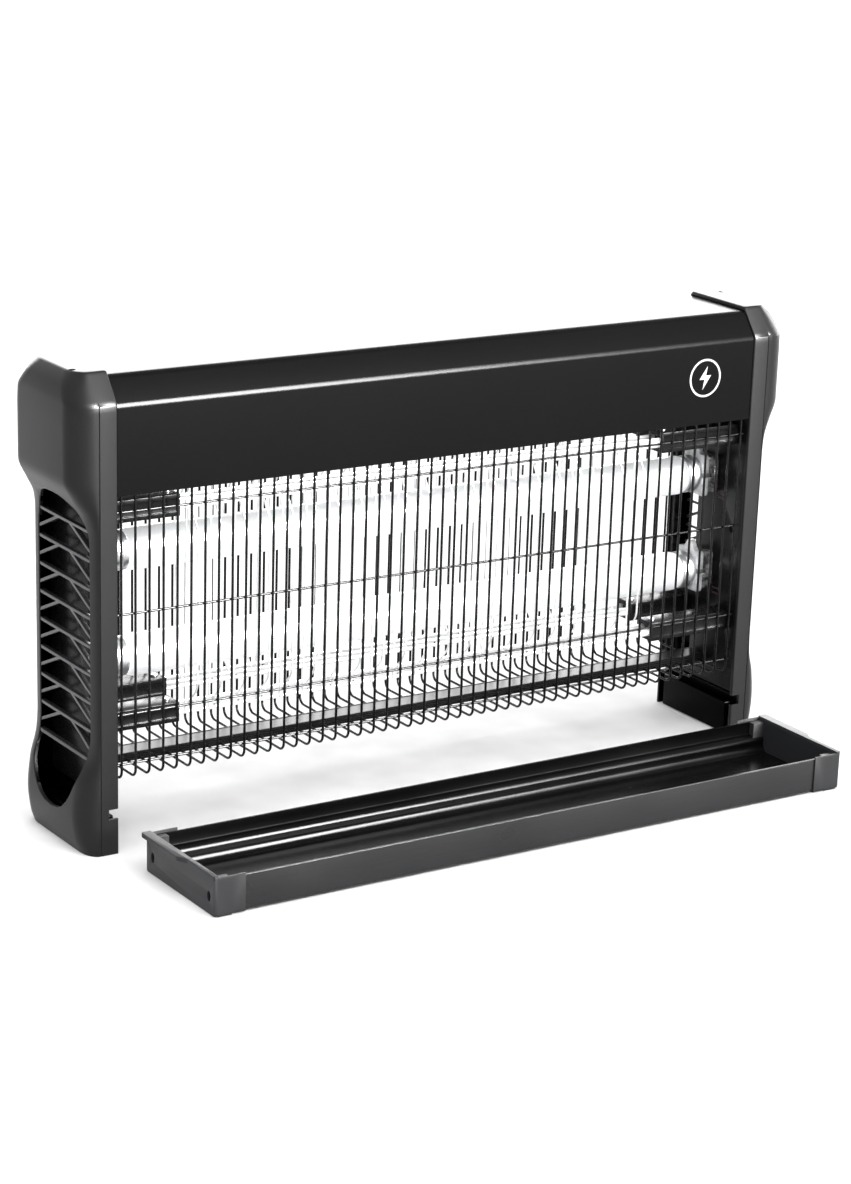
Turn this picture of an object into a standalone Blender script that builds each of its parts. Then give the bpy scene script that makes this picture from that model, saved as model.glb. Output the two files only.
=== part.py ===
"""Electric insect killer with two horizontal tubes, its catch tray drawn out in front on the floor.

Sizes are in millimetres in the unit's own frame: X runs along the length with zero at the middle, Y runs
from the front face (zero) to the back, Z is up from the floor. UNIT_Y moves that frame so that the whole
object, with the tray drawn out, is centred on the origin.
"""

import math

import bpy
from mathutils import Matrix, Vector

# ---- overall frame
CLEAR = 462.0  # length between the two end caps
HALF = CLEAR / 2
DEPTH = 83.0
MID_Y = DEPTH / 2
HEIGHT = 291.5
CHAMFER_Z = 274.2  # where the upright front turns into the chamfer
CHAMFER_Y = 13.5
TRAY_TRAVEL = 116.3  # how far the tray is drawn out
UNIT_Y = (TRAY_TRAVEL - DEPTH) / 2
GAP = 0.35  # clearance between neighbouring pieces

# ---- end caps
STRIP = 11.5  # flat strip beside the grille
WALL = 2.2
SHOULDER = 14.0  # depth of the rounding behind the strip
BULGE = (  # (height, how far the cap swells past its strip)
    (0.0, 8.0),
    (8.0, 11.0),
    (24.0, 13.0),
    (42.0, 11.0),
    (60.0, 4.5),
    (72.0, 3.0),
    (196.0, 3.0),
    (206.0, 5.0),
    (217.0, 11.0),
    (230.0, 17.0),
    (262.0, 17.0),
    (CHAMFER_Z, 16.5),
    (284.0, 14.0),
    (HEIGHT, 8.0),
)
SHOULDER_STEPS = 4
SLOT_Z = (22.2, 28.6)  # groove that guides the tray's flange
SLOT_DEEP = 6.4
BLOCK_Y = (7.0, 76.0)
BLOCK_DEEP = 18.0
PLATE_U = (1.5, 3.5)  # inner plate that carries the lampholders
PLATE_END = 51.6
PLATE_TOP = 272.0
WINDOWS_Z = ((34.0, 70.0), (90.0, 198.0))
EYE_HOLE = (17.0, 60.0)  # screw hole in the cap's top, outward and y
EYE_R = 2.1

# ---- vent in each end cap: level ribs, and slanting ribs that rise from both edges to the next level one
VENT_Z = (22.0, 216.0)
VENT_Y = (8.5, DEPTH - 8.5)
VENT_STRAIGHT = (80.0, 188.0)
VENT_RIBS = 9  # level ribs
VENT_FIRST = 59.2  # height of the lowest level rib
VENT_PITCH = 17.4
VENT_STEP = 5.9  # how far above a level rib the slanting rib starts at the vent's edge
VENT_JOINT = 26.0  # how far in from the edge it meets the next level rib
VENT_RIB = 1.8

# ---- cover
SHEET = 1.4
COVER_Y = 1.0
COVER_BOTTOM = 219.8
COVER_EDGE = 273.2
COVER_TOP = 289.0
COVER_CHAMFER = 13.0
LIP = 6.0
LIP_Z = 228.0
INLET = (-150.0, 252.0, 22.0, 14.0)  # middle x, middle z, width and height
INLET_FLANGE = 3.0  # how far the inlet's flange stands past the hole in the cover

# ---- guard grilles and bottom rail
WIRE = 1.6
WIRES = 50
WIRE_SPAN = 454.0
WIRE_Y = 3.8
WIRE_TOP = 227.2
CROSS_Z = (209.0, 147.0, 85.0, 54.0)  # cross wires of the front grille
CROSS_Z_BACK = (209.0, 153.0, 87.5, 54.0)
HOOK_Z = 45.2
RAIL_Y = (33.5, DEPTH - 33.5)
RAIL_Z = (43.8, 49.4)

# ---- high-voltage grid
HV_WIRE = 1.2
HV_PITCH = 16.4
HV_FACE = 13.7
HV_BACK = 23.0
HV_BAR = 1.2
HV_BAR_HALF = 226.0
HV_TOP = (204.0, 210.5)
HV_LOW = (76.0, 81.5)
ARM_Y = (11.8, 27.0)
ARM_WEB = (17.6, 20.2)
ARM_FLANGE = 3.0
ARM_SHORT = 47.0
ARM_LONG = 62.0

# ---- tubes and lampholders
TUBE_Z = (175.4, 109.1)
TUBE_R = 13.0
TUBE_HALF = 218.7
METAL_CAP = 9.5
PIN_R = 1.2
PIN_AT = 6.35
PIN_LONG = 7.0
HOLDER = (24.0, 28.0)  # width and height
HOLDER_BORE = 8.6
HOLDER_BORE_DEEP = 8.4
HOLDER_SLOT = 3.4  # height of the slot that the pins come in through, once they lie level
HOLDER_NUB = 6.0

# ---- catch tray
TRAY_LIFT = 0.3
TRAY_HALF = HALF - 1.2
TRAY_FLANGE = 4.0  # how far the flange stands past the end wall
FLANGE_LONG = 44.0  # depth of that wide stretch, from the back
FLANGE_THIN = 0.7
TRAY_SKIN = 0.9
TRAY_SLEEVE = 20.0
TRAY_WALL = 1.6
TRAY_CHANNEL_TOP = 23.0
TRAY_END_TOP = 25.4
FLANGE_Z = (22.6, 25.4)
BEAD = 5.5

# ---- electronics under the cover
DECK_Z = (LIP_Z + SHEET + GAP, LIP_Z + SHEET + GAP + 1.2)


def mesh_object(name, points, faces):
    """A mesh object from points in millimetres of the unit's frame."""
    mesh = bpy.data.meshes.new(name)
    moved = [(x / 1000, (y + UNIT_Y) / 1000, z / 1000) for x, y, z in points]
    mesh.from_pydata(moved, [], faces)
    mesh.update()
    made = bpy.data.objects.new(name, mesh)
    bpy.context.scene.collection.objects.link(made)
    return made


def prism_data(outline, low, high, axis):
    """Points and faces of a flat outline pulled along one axis. The outline holds the other two axes in order."""
    count = len(outline)
    area = 0.0
    for (a, b), (c, d) in zip(outline, outline[1:] + outline[:1]):
        area += a * d - b * c
    turned = (area < 0) != (axis == 1)
    ring = outline[::-1] if turned else outline
    points = []
    for level in (low, high):
        for a, b in ring:
            point = [a, b]
            point.insert(axis, level)
            points.append(tuple(point))
    faces = [tuple(range(count))[::-1], tuple(range(count, 2 * count))]
    for i in range(count):
        j = (i + 1) % count
        faces.append((i, j, count + j, count + i))
    return points, faces


def joined(pieces):
    """Several (points, faces) sets as one set."""
    points = []
    faces = []
    for more_points, more_faces in pieces:
        base = len(points)
        points += more_points
        faces += [tuple(base + i for i in face) for face in more_faces]
    return points, faces


def prism(name, outline, low, high, axis):
    return mesh_object(name, *prism_data(outline, low, high, axis))


def box_outline(a, b):
    return [(a[0], b[0]), (a[1], b[0]), (a[1], b[1]), (a[0], b[1])]


def box_data(x, y, z):
    return prism_data(box_outline(x, y), z[0], z[1], 2)


def box(name, x, y, z):
    return mesh_object(name, *box_data(x, y, z))


def circle(middle, radius, sides, start=0.0):
    turn = 2 * math.pi / sides
    return [
        (middle[0] + radius * math.cos(start + turn * i), middle[1] + radius * math.sin(start + turn * i))
        for i in range(sides)
    ]


def loft(name, rings):
    """A closed solid through rings of equal length, each a list of points from the bottom up."""
    count = len(rings[0])
    points = [point for ring in rings for point in ring]
    last = (len(rings) - 1) * count
    faces = [tuple(range(count))[::-1], tuple(range(last, last + count))]
    for level in range(len(rings) - 1):
        base = level * count
        for i in range(count):
            j = (i + 1) % count
            faces.append((base + i, base + j, base + count + j, base + count + i))
    return mesh_object(name, points, faces)


def combine(target, tools, operation):
    """Applies each tool to the target and removes the tool."""
    for tool in tools:
        change = target.modifiers.new("combine", "BOOLEAN")
        change.operation = operation
        change.solver = "EXACT"
        change.object = tool
        bpy.context.view_layer.update()
        graph = bpy.context.evaluated_depsgraph_get()
        result = bpy.data.meshes.new_from_object(target.evaluated_get(graph))
        target.modifiers.clear()
        old = target.data
        target.data = result
        bpy.data.meshes.remove(old)
        bpy.data.objects.remove(tool)
    target.data.name = target.name
    return target


def ribbon(path, half):
    """Outline of a bent strip of even width along a path in the plane, with mitred corners."""
    left = []
    right = []
    for i, (y, z) in enumerate(path):
        before = Vector(path[i]) - Vector(path[i - 1]) if i else Vector(path[1]) - Vector(path[0])
        after = Vector(path[i + 1]) - Vector(path[i]) if i + 1 < len(path) else before
        before.normalize()
        after.normalize()
        side = Vector((-before.y - after.y, before.x + after.x)).normalized()
        reach = half / max(0.5, side.dot(Vector((-before.y, before.x))))
        left.append((y + side.x * reach, z + side.y * reach))
        right.append((y - side.x * reach, z - side.y * reach))
    return left + right[::-1]


def mirrored_y(outline, yes):
    """The outline flipped front to back when asked."""
    return [(DEPTH - y, z) for y, z in outline] if yes else outline


# ---- end caps


def bulge_at(z):
    for (low, a), (high, b) in zip(BULGE, BULGE[1:]):
        if low <= z <= high:
            return a + (b - a) * (z - low) / (high - low)
    return BULGE[-1][1]


def front_at(z):
    """How far the front face has stepped back at a height, on the chamfer."""
    return CHAMFER_Y * max(0.0, (z - CHAMFER_Z) / (HEIGHT - CHAMFER_Z))


def cap_ring(z, inset):
    """Half of the cap's outline at one height, outermost skin or cavity, as (outward, y) points."""
    bulge = bulge_at(z)
    start = front_at(z)
    half = [(-inset, start + inset), (STRIP - inset * 0.5, start + inset)]
    for step in range(1, SHOULDER_STEPS + 1):
        angle = math.pi / 2 * step / SHOULDER_STEPS
        out = STRIP + bulge * math.sin(angle)
        back = start + SHOULDER * (1 - math.cos(angle))
        normal = Vector((SHOULDER * math.sin(angle), -bulge * math.cos(angle))).normalized()
        half.append((out - normal.x * inset, back - normal.y * inset))
    return half + [(out, DEPTH - y) for out, y in reversed(half)]


def cap_levels(low, high):
    return [low] + [z for z, _ in BULGE if low < z < high] + [high]


def cap_solid(name, inset, low, high):
    rings = []
    for z in cap_levels(low, high):
        rings.append([(HALF + out, y, z) for out, y in cap_ring(z, inset)])
    return loft(name, rings)


def leaf_outline():
    """The vent's rounded-leaf outline in the plane of depth and height."""
    steps = 5
    lower = []
    upper = []
    for step in range(steps + 1):
        turn = math.pi / 2 * step / steps
        y = MID_Y - (MID_Y - VENT_Y[0]) * math.sin(turn) ** 0.8
        lower.append((y, VENT_STRAIGHT[0] - (VENT_STRAIGHT[0] - VENT_Z[0]) * math.cos(turn)))
        upper.append((y, VENT_STRAIGHT[1] + (VENT_Z[1] - VENT_STRAIGHT[1]) * math.cos(turn)))
    front = lower + upper[::-1]
    back = [(DEPTH - y, z) for y, z in front[1:-1]]
    return front + back[::-1]


def clipped(cell, outline):
    """The part of a convex cell inside a convex outline, both turning the same way."""
    kept = cell
    for (ay, az), (by, bz) in zip(outline, outline[1:] + outline[:1]):
        result = []
        for p, q in zip(kept, kept[1:] + kept[:1]):
            side_p = (by - ay) * (p[1] - az) - (bz - az) * (p[0] - ay)
            side_q = (by - ay) * (q[1] - az) - (bz - az) * (q[0] - ay)
            if side_p >= 0:
                result.append(p)
            if (side_p >= 0) != (side_q >= 0):
                t = side_p / (side_p - side_q)
                result.append((p[0] + t * (q[0] - p[0]), p[1] + t * (q[1] - p[1])))
        kept = result
        if len(kept) < 3:
            return []
    return kept


def area_of(outline):
    return sum(a * d - b * c for (a, b), (c, d) in zip(outline, outline[1:] + outline[:1])) / 2


def inset_cell(cell, amount):
    """A convex cell with each side moved inwards."""
    result = [(-500.0, -500.0), (500.0, -500.0), (500.0, 500.0), (-500.0, 500.0)]
    for (ay, az), (by, bz) in zip(cell, cell[1:] + cell[:1]):
        along = Vector((by - ay, bz - az)).normalized()
        inward = Vector((-along.y, along.x)) * amount
        a = Vector((ay, az)) + inward
        far = 2000.0
        corner = a - along * far
        other = a + along * far
        up = Vector((-along.y, along.x)) * far
        half_plane = [tuple(corner), tuple(other), tuple(other + up), tuple(corner + up)]
        result = clipped(result, half_plane)
        if not result:
            return []
    return result


def vent_cells():
    """Openings left between the level ribs and the slanting ribs, clipped to the leaf."""
    leaf = leaf_outline()
    if area_of(leaf) < 0:
        leaf = leaf[::-1]
    front, back = VENT_Y
    last = VENT_FIRST + VENT_PITCH * (VENT_RIBS - 1)
    edge = 1.0  # cells run this far past the leaf before they are clipped to it
    cells = [
        box_outline((front - edge, back + edge), (VENT_Z[0] - edge, VENT_FIRST)),
        box_outline((front - edge, back + edge), (last, VENT_Z[1] + edge)),
    ]
    for k in range(VENT_RIBS - 1):
        low = VENT_FIRST + k * VENT_PITCH
        high = low + VENT_PITCH
        fall = (VENT_PITCH - VENT_STEP) / VENT_JOINT
        slant = low + VENT_STEP - edge * fall
        joints = (front + VENT_JOINT, back - VENT_JOINT)
        outer = (front - edge, back + edge)
        cells.append([(outer[0], slant), (joints[0], high), (outer[0], high)])
        cells.append([(outer[1], high), (joints[1], high), (outer[1], slant)])
        floor = [(outer[0], low), (outer[1], low)]
        cells.append(floor + [(outer[1], slant), (joints[1], high), (joints[0], high), (outer[0], slant)])
    result = []
    for cell in cells:
        inner = inset_cell(cell, VENT_RIB / 2)
        kept = clipped(inner, leaf) if inner else []
        if kept and area_of(kept) > 6.0:
            result.append(kept)
    return result


def end_cap(name, side):
    """One end cap. Both come from one mould, so the left one is the right one turned half round."""
    cap = cap_solid(name, 0.0, 0.0, HEIGHT)
    combine(cap, [cap_solid("cavity", WALL, -WALL, HEIGHT - WALL)], "DIFFERENCE")
    notches = []
    for y in ((-2.0, WALL + 2.0), (DEPTH - WALL - 2.0, DEPTH + 2.0)):
        notches.append(box_data((HALF - 2, HALF + SLOT_DEEP), y, SLOT_Z))
    combine(cap, [mesh_object("notches", *joined(notches))], "DIFFERENCE")
    cells = [prism_data(cell, HALF + PLATE_U[1] + 3, HALF + 60, 0) for cell in vent_cells()]
    combine(cap, [mesh_object("cells", *joined(cells))], "DIFFERENCE")
    plate = box(
        "plate",
        (HALF + PLATE_U[0], HALF + PLATE_U[1]),
        (WALL / 2, DEPTH - WALL / 2),
        (SLOT_Z[1] + 0.4, PLATE_TOP),
    )
    windows = []
    for z in WINDOWS_Z:
        windows.append(box_data((HALF, HALF + 5), (PLATE_END, DEPTH - WALL - 2), z))
    combine(plate, [mesh_object("windows", *joined(windows))], "DIFFERENCE")
    block = box("block", (HALF, HALF + BLOCK_DEEP), BLOCK_Y, (0.4, SLOT_Z[0]))
    combine(cap, [plate, block], "UNION")
    out, y = EYE_HOLE
    combine(cap, [prism("eye_hole", circle((HALF + out, y), EYE_R, 12), HEIGHT - 12, HEIGHT + 5, 2)], "DIFFERENCE")
    if side < 0:
        middle = Vector((0, (MID_Y + UNIT_Y) / 1000, 0))
        turn = Matrix.Translation(middle) @ Matrix.Rotation(math.pi, 4, "Z") @ Matrix.Translation(-middle)
        cap.data.transform(turn)
    return cap


# ---- cover, deck and electronics


def cover_outline(offset):
    """Front half of the cover's section from the bottom edge up to the top."""
    return [
        (COVER_Y + offset, COVER_BOTTOM),
        (COVER_Y + offset, COVER_EDGE - 1.4 - offset * 0.3),
        (COVER_Y + 0.8 + offset * 0.95, COVER_EDGE + 0.8 - offset * 0.6),
        (COVER_CHAMFER - 1.2 + offset * 0.6, COVER_TOP - 1.2 - offset * 0.8),
        (COVER_CHAMFER + 1.6 + offset * 0.2, COVER_TOP - offset),
    ]


def top_cover():
    outer = cover_outline(0.0)
    inner = cover_outline(SHEET)
    lip = [
        (COVER_Y + SHEET, LIP_Z + SHEET),
        (COVER_Y + SHEET + LIP, LIP_Z + SHEET),
        (COVER_Y + SHEET + LIP, LIP_Z),
        (COVER_Y + SHEET, LIP_Z),
    ]
    front = inner[:1] + lip[::-1] + inner[1:]
    section = outer + [(DEPTH - y, z) for y, z in reversed(outer)]
    section += [(DEPTH - y, z) for y, z in front] + front[::-1]
    cover = prism("top_cover", section, -HALF + GAP, HALF - GAP, 0)
    x, z, wide, high = INLET
    hole = box(
        "inlet_hole",
        (x - wide / 2, x + wide / 2),
        (DEPTH - COVER_Y - SHEET - 1, DEPTH + 2),
        (z - high / 2, z + high / 2),
    )
    return combine(cover, [hole], "DIFFERENCE")


def power_inlet():
    """Flush two-pole inlet in the back of the cover, for a lead that unplugs."""
    x, z, wide, high = INLET
    back = DEPTH - COVER_Y
    half_w, half_h = wide / 2 - GAP, high / 2 - GAP
    body = box("power_inlet", (x - half_w, x + half_w), (back - 18, back), (z - half_h, z + half_h))
    flange = box(
        "flange",
        (x - half_w - INLET_FLANGE, x + half_w + INLET_FLANGE),
        (back - 5, back - SHEET - GAP),
        (z - high / 2 - INLET_FLANGE, z + high / 2 + INLET_FLANGE),
    )
    combine(body, [flange], "UNION")
    slot = []
    for end, start in ((x - 4.2, math.pi / 2), (x + 4.2, -math.pi / 2)):
        for step in range(7):
            angle = start + math.pi * step / 6
            slot.append((end + 3.8 * math.cos(angle), z + 3.8 * math.sin(angle)))
    combine(body, [prism("socket", slot, back - 12, back + 2, 1)], "DIFFERENCE")
    pins = [prism_data(circle((x + s * 4.2, z), 1.2, 8), back - 13, back - 6, 1) for s in (-1, 1)]
    return combine(body, [mesh_object("pins", *joined(pins))], "UNION")


def electronics():
    """Deck across the cover's lips and the modules standing on it."""
    inset = COVER_Y + SHEET + GAP
    box("deck", (-HALF + 4, HALF - 4), (inset, DEPTH - inset), DECK_Z)
    base = DECK_Z[1] + GAP
    for name, x in (("ballast_left", -80.0), ("ballast_right", 60.0)):
        body = box(name, (x - 52, x + 52), (MID_Y - 20, MID_Y + 20), (base, base + 3))
        core = box("core", (x - 40, x + 40), (MID_Y - 16, MID_Y + 16), (base + 2, base + 31))
        combine(body, [core], "UNION")
    box("hv_module", (142.0, 206.0), (MID_Y - 24, MID_Y + 20), (base, base + 34))
    for name, y in (("starter_front", MID_Y - 17), ("starter_back", MID_Y + 17)):
        prism(name, circle((y, base + 15), 10.5, 14), -210.0, -172.0, 0)
    box("terminal_block", (-24.0, 4.0), (MID_Y - 10, MID_Y + 8), (base, base + 12))


# ---- grilles and rail


def wire_places():
    step = WIRE_SPAN / (WIRES - 1)
    return [-WIRE_SPAN / 2 + step * i for i in range(WIRES)]


def grille(name, at_back):
    """Guard grille: hooked uprights in front, cross wires behind them, one body."""
    half = WIRE / 2
    path = [
        (WIRE_Y, WIRE_TOP),
        (WIRE_Y, HOOK_Z + 5.5),
        (WIRE_Y + 1.8, HOOK_Z + 1.8),
        (WIRE_Y + 5.5, HOOK_Z),
        (RAIL_Y[0] - GAP, HOOK_Z),
    ]
    outline = mirrored_y(ribbon(path, half), at_back)
    uprights = [prism_data(outline, x - half, x + half, 0) for x in wire_places()]
    made = mesh_object(name, *joined(uprights))
    heights = CROSS_Z_BACK if at_back else CROSS_Z
    ends = HALF - GAP
    first = WIRE_SPAN / 2
    touch = WIRE_Y + half - 0.25
    clear = WIRE_Y + half + 0.3
    crosses = []
    for z in heights[:-1]:
        outline = [
            (-ends, clear),
            (-first - half * 0.6, clear),
            (-first - half * 0.6, touch),
            (-first + half * 0.6, touch),
            (-first + half * 0.6, clear),
            (first - half * 0.6, clear),
            (first - half * 0.6, touch),
            (first + half * 0.6, touch),
            (first + half * 0.6, clear),
            (ends, clear),
            (ends, clear + WIRE),
            (-ends, clear + WIRE),
        ]
        if at_back:
            outline = [(x, DEPTH - y) for x, y in outline]
        crosses.append(prism_data(outline, z - half, z + half, 2))
    low = (touch, touch + WIRE)
    if at_back:
        low = (DEPTH - low[1], DEPTH - low[0])
    crosses.append(box_data((-ends, ends), low, (heights[-1] - half, heights[-1] + half)))
    return combine(made, [mesh_object("crosses", *joined(crosses))], "UNION")


def bottom_rail():
    """Flat bar under the grid that the grilles' hooks end at, ribbed on both long faces."""
    low, high = RAIL_Z
    front = [(0.0, 0.0), (0.7, 0.9), (0.0, 1.8), (0.7, 2.8), (0.0, 3.8), (0.7, 4.7), (0.0, high - low)]
    section = [(RAIL_Y[0] + y, low + z) for y, z in front]
    section += [(DEPTH - y, z) for y, z in reversed(section)]
    return prism("bottom_rail", section, -HALF + GAP, HALF - GAP, 0)


# ---- high-voltage grid


def arm_lengths(at_back):
    """Insulating arms at the left and right end of one side."""
    return (ARM_LONG, ARM_SHORT) if at_back else (ARM_SHORT, ARM_LONG)


def hv_places(at_back, shifted):
    left, right = arm_lengths(at_back)
    low = -HALF + left + 5
    high = HALF - right - 5
    start = low + (HV_PITCH / 2 if shifted else 0)
    return [start + HV_PITCH * i for i in range(int((high - start) / HV_PITCH) + 1)]


def hv_comb(name, at_back, shifted):
    """One pole of the grid: its wires between an upper and a lower bar, one body."""
    half = HV_WIRE / 2
    front = HV_BACK if shifted else HV_FACE
    if shifted:
        path = [
            (HV_BACK, HV_TOP[1] - 1),
            (HV_BACK, HV_TOP[0] - 1),
            (HV_FACE, HV_TOP[0] - 15),
            (HV_FACE, HV_LOW[1] + 15),
            (HV_FACE + 2.6, HV_LOW[1] + 4.5),
            (HV_BACK, HV_LOW[1] - 1.5),
            (HV_BACK, HV_LOW[0] + 1),
        ]
    else:
        path = [(HV_FACE, HV_TOP[1] - 1), (HV_FACE, HV_LOW[0] + 1)]
    outline = mirrored_y(ribbon(path, half), at_back)
    wires = [prism_data(outline, x - half, x + half, 0) for x in hv_places(at_back, shifted)]
    made = mesh_object(name, *joined(wires))
    bar = (front + half - 0.2, front + half - 0.2 + HV_BAR)
    if at_back:
        bar = (DEPTH - bar[1], DEPTH - bar[0])
    bars = [box_data((-HV_BAR_HALF, HV_BAR_HALF), bar, z) for z in (HV_TOP, HV_LOW)]
    return combine(made, [mesh_object("bars", *joined(bars))], "UNION")


def insulator(name, side, at_back, level):
    """Plastic arm with a channel on each side of its web, one for each bar."""
    left, right = arm_lengths(at_back)
    long = left if side < 0 else right
    low = level[0] - 0.5 - ARM_FLANGE
    high = level[1] + 0.5 + ARM_FLANGE
    section = [
        (ARM_Y[0], low),
        (ARM_Y[1], low),
        (ARM_Y[1], low + ARM_FLANGE),
        (ARM_WEB[1], low + ARM_FLANGE),
        (ARM_WEB[1], high - ARM_FLANGE),
        (ARM_Y[1], high - ARM_FLANGE),
        (ARM_Y[1], high),
        (ARM_Y[0], high),
        (ARM_Y[0], high - ARM_FLANGE),
        (ARM_WEB[0], high - ARM_FLANGE),
        (ARM_WEB[0], low + ARM_FLANGE),
        (ARM_Y[0], low + ARM_FLANGE),
    ]
    reach = HALF + PLATE_U[0] - GAP
    ends = sorted((side * reach, side * (HALF - long)))
    return prism(name, mirrored_y(section, at_back), ends[0], ends[1], 0)


# ---- tubes and lampholders


def tube(level, z):
    """Glass tube and its two metal end caps, each cap with two pins."""
    glass = TUBE_HALF - METAL_CAP
    middle = (MID_Y, z)
    prism(f"tube_{level}", circle(middle, TUBE_R, 24), -glass, glass, 0)
    for label, side in (("left", -1), ("right", 1)):
        ends = sorted((side * (glass + 0.3), side * TUBE_HALF))
        cap = prism(f"tube_{level}_cap_{label}", circle(middle, TUBE_R - 0.1, 24), ends[0], ends[1], 0)
        pins = []
        for way in (-1, 1):
            spot = (MID_Y, z + way * PIN_AT)
            reach = sorted((side * (TUBE_HALF - 1), side * (TUBE_HALF + PIN_LONG)))
            pins.append(prism_data(circle(spot, PIN_R, 8), reach[0], reach[1], 0))
        combine(cap, [mesh_object("pins", *joined(pins))], "UNION")


def lampholder(name, side, z):
    """Block with a round socket for the pins, a slot into it from the front and a peaked lug on top."""
    wide, high = HOLDER
    peak = z + high / 2 + HOLDER_NUB
    section = [
        (MID_Y - wide / 2, z - high / 2),
        (MID_Y + wide / 2, z - high / 2),
        (MID_Y + wide / 2, z + high / 2),
        (MID_Y + 6, z + high / 2),
        (MID_Y + 1.2, peak),
        (MID_Y - 1.2, peak),
        (MID_Y - 6, z + high / 2),
        (MID_Y - wide / 2, z + high / 2),
    ]
    inner = TUBE_HALF + 0.4
    outer = HALF + PLATE_U[0] - GAP
    ends = sorted((side * inner, side * outer))
    body = prism(name, section, ends[0], ends[1], 0)
    deep = sorted((side * (inner - 2), side * (inner + HOLDER_BORE_DEEP)))
    bore = prism("bore", circle((MID_Y, z), HOLDER_BORE, 20), deep[0], deep[1], 0)
    slot = box("slot", deep, (MID_Y - wide, MID_Y), (z - HOLDER_SLOT / 2, z + HOLDER_SLOT / 2))
    return combine(body, [bore, slot], "DIFFERENCE")


# ---- catch tray


def tray_section():
    """Closed section of the tray's channel: floor, two walls and a screw bead inside each wall."""
    low = TRAY_LIFT + TRAY_SKIN + 0.1
    out = TRAY_SKIN + 0.3
    wall = out + TRAY_WALL
    floor = low + TRAY_WALL
    inner = [(wall, TRAY_CHANNEL_TOP), (wall, floor + 12.0)]
    for step in range(5):
        angle = math.pi / 2 * step / 4
        inner.append((wall + BEAD * math.sin(angle), floor + 6.8 + 4.6 * math.cos(angle)))
    inner += [(wall + BEAD - 0.6, floor + 4.6), (wall + BEAD + 1.2, floor + 1.6), (wall + BEAD + 4.6, floor)]
    outer = [(out, TRAY_CHANNEL_TOP), (out, low)]
    front = inner[::-1] + outer
    back = [(DEPTH - y, z) for y, z in front[::-1]]
    return [(y - TRAY_TRAVEL, z) for y, z in front + back]


def tray_channel():
    reach = TRAY_HALF - TRAY_WALL - 1.2
    return prism("tray_channel", tray_section(), -reach, reach, 0)


def tray_end(name, side):
    """Plastic end of the tray: end wall, sleeve round the channel and the flange that rides in the groove."""
    outer = side * TRAY_HALF
    inner = side * (TRAY_HALF - TRAY_WALL - 0.8)
    sleeve = side * (TRAY_HALF - TRAY_SLEEVE)
    front, back = -TRAY_TRAVEL, DEPTH - TRAY_TRAVEL
    body = box(name, sorted((sleeve, outer)), (front, back), (TRAY_LIFT, TRAY_END_TOP - 1.0))
    low = TRAY_LIFT + TRAY_SKIN
    room = box(
        "room",
        sorted((side * (TRAY_HALF - TRAY_SLEEVE - 5), inner)),
        (front + TRAY_SKIN, back - TRAY_SKIN),
        (low, TRAY_END_TOP + 5),
    )
    combine(body, [room], "DIFFERENCE")
    edge = [
        (TRAY_HALF - 2.0, back - 0.6),
        (TRAY_HALF + TRAY_FLANGE, back - 0.6),
        (TRAY_HALF + TRAY_FLANGE, back - FLANGE_LONG),
        (TRAY_HALF + FLANGE_THIN, back - FLANGE_LONG - 7.0),
        (TRAY_HALF + FLANGE_THIN, front + 0.6),
        (TRAY_HALF - 2.0, front + 0.6),
    ]
    flange = prism("flange", [(side * x, y) for x, y in edge], FLANGE_Z[0], FLANGE_Z[1], 2)
    combine(body, [flange], "UNION")
    screws = []
    for y in (front + 7.5, back - 7.5):
        spot = [(y + a * 2.0, 11.0 + b * 3.2) for a, b in circle((0, 0), 1, 10)]
        reach = sorted((side * (TRAY_HALF - 1.4), side * (TRAY_HALF + 2)))
        screws.append(prism_data(spot, reach[0], reach[1], 0))
    return combine(body, [mesh_object("screws", *joined(screws))], "DIFFERENCE")


def build():
    for obj in list(bpy.data.objects):
        bpy.data.objects.remove(obj)
    end_cap("end_cap_left", -1)
    end_cap("end_cap_right", 1)
    top_cover()
    power_inlet()
    electronics()
    grille("grille_front", False)
    grille("grille_back", True)
    bottom_rail()
    for side, at_back in (("front", False), ("back", True)):
        hv_comb(f"hv_comb_{side}_a", at_back, False)
        hv_comb(f"hv_comb_{side}_b", at_back, True)
        for height, level in (("top", HV_TOP), ("low", HV_LOW)):
            for label, way in (("left", -1), ("right", 1)):
                insulator(f"arm_{height}_{side}_{label}", way, at_back, level)
    for level, z in zip(("upper", "lower"), TUBE_Z):
        tube(level, z)
        for label, way in (("left", -1), ("right", 1)):
            lampholder(f"holder_{level}_{label}", way, z)
    tray_channel()
    tray_end("tray_end_left", -1)
    tray_end("tray_end_right", 1)


build()
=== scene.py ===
"""Builds a two-tube electric insect killer, piece by piece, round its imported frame.

Sizes inside the builders are in millimetres in the unit's own frame: X runs along the length with zero at the
middle, Y runs from the unit's front face (zero) to its back, Z is up from the floor.
"""

import math

import bmesh
import bpy
from bpy.props import FloatProperty, FloatVectorProperty, IntProperty, PointerProperty
from bpy.types import Operator, Panel, PropertyGroup
from mathutils import Matrix, Vector


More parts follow.
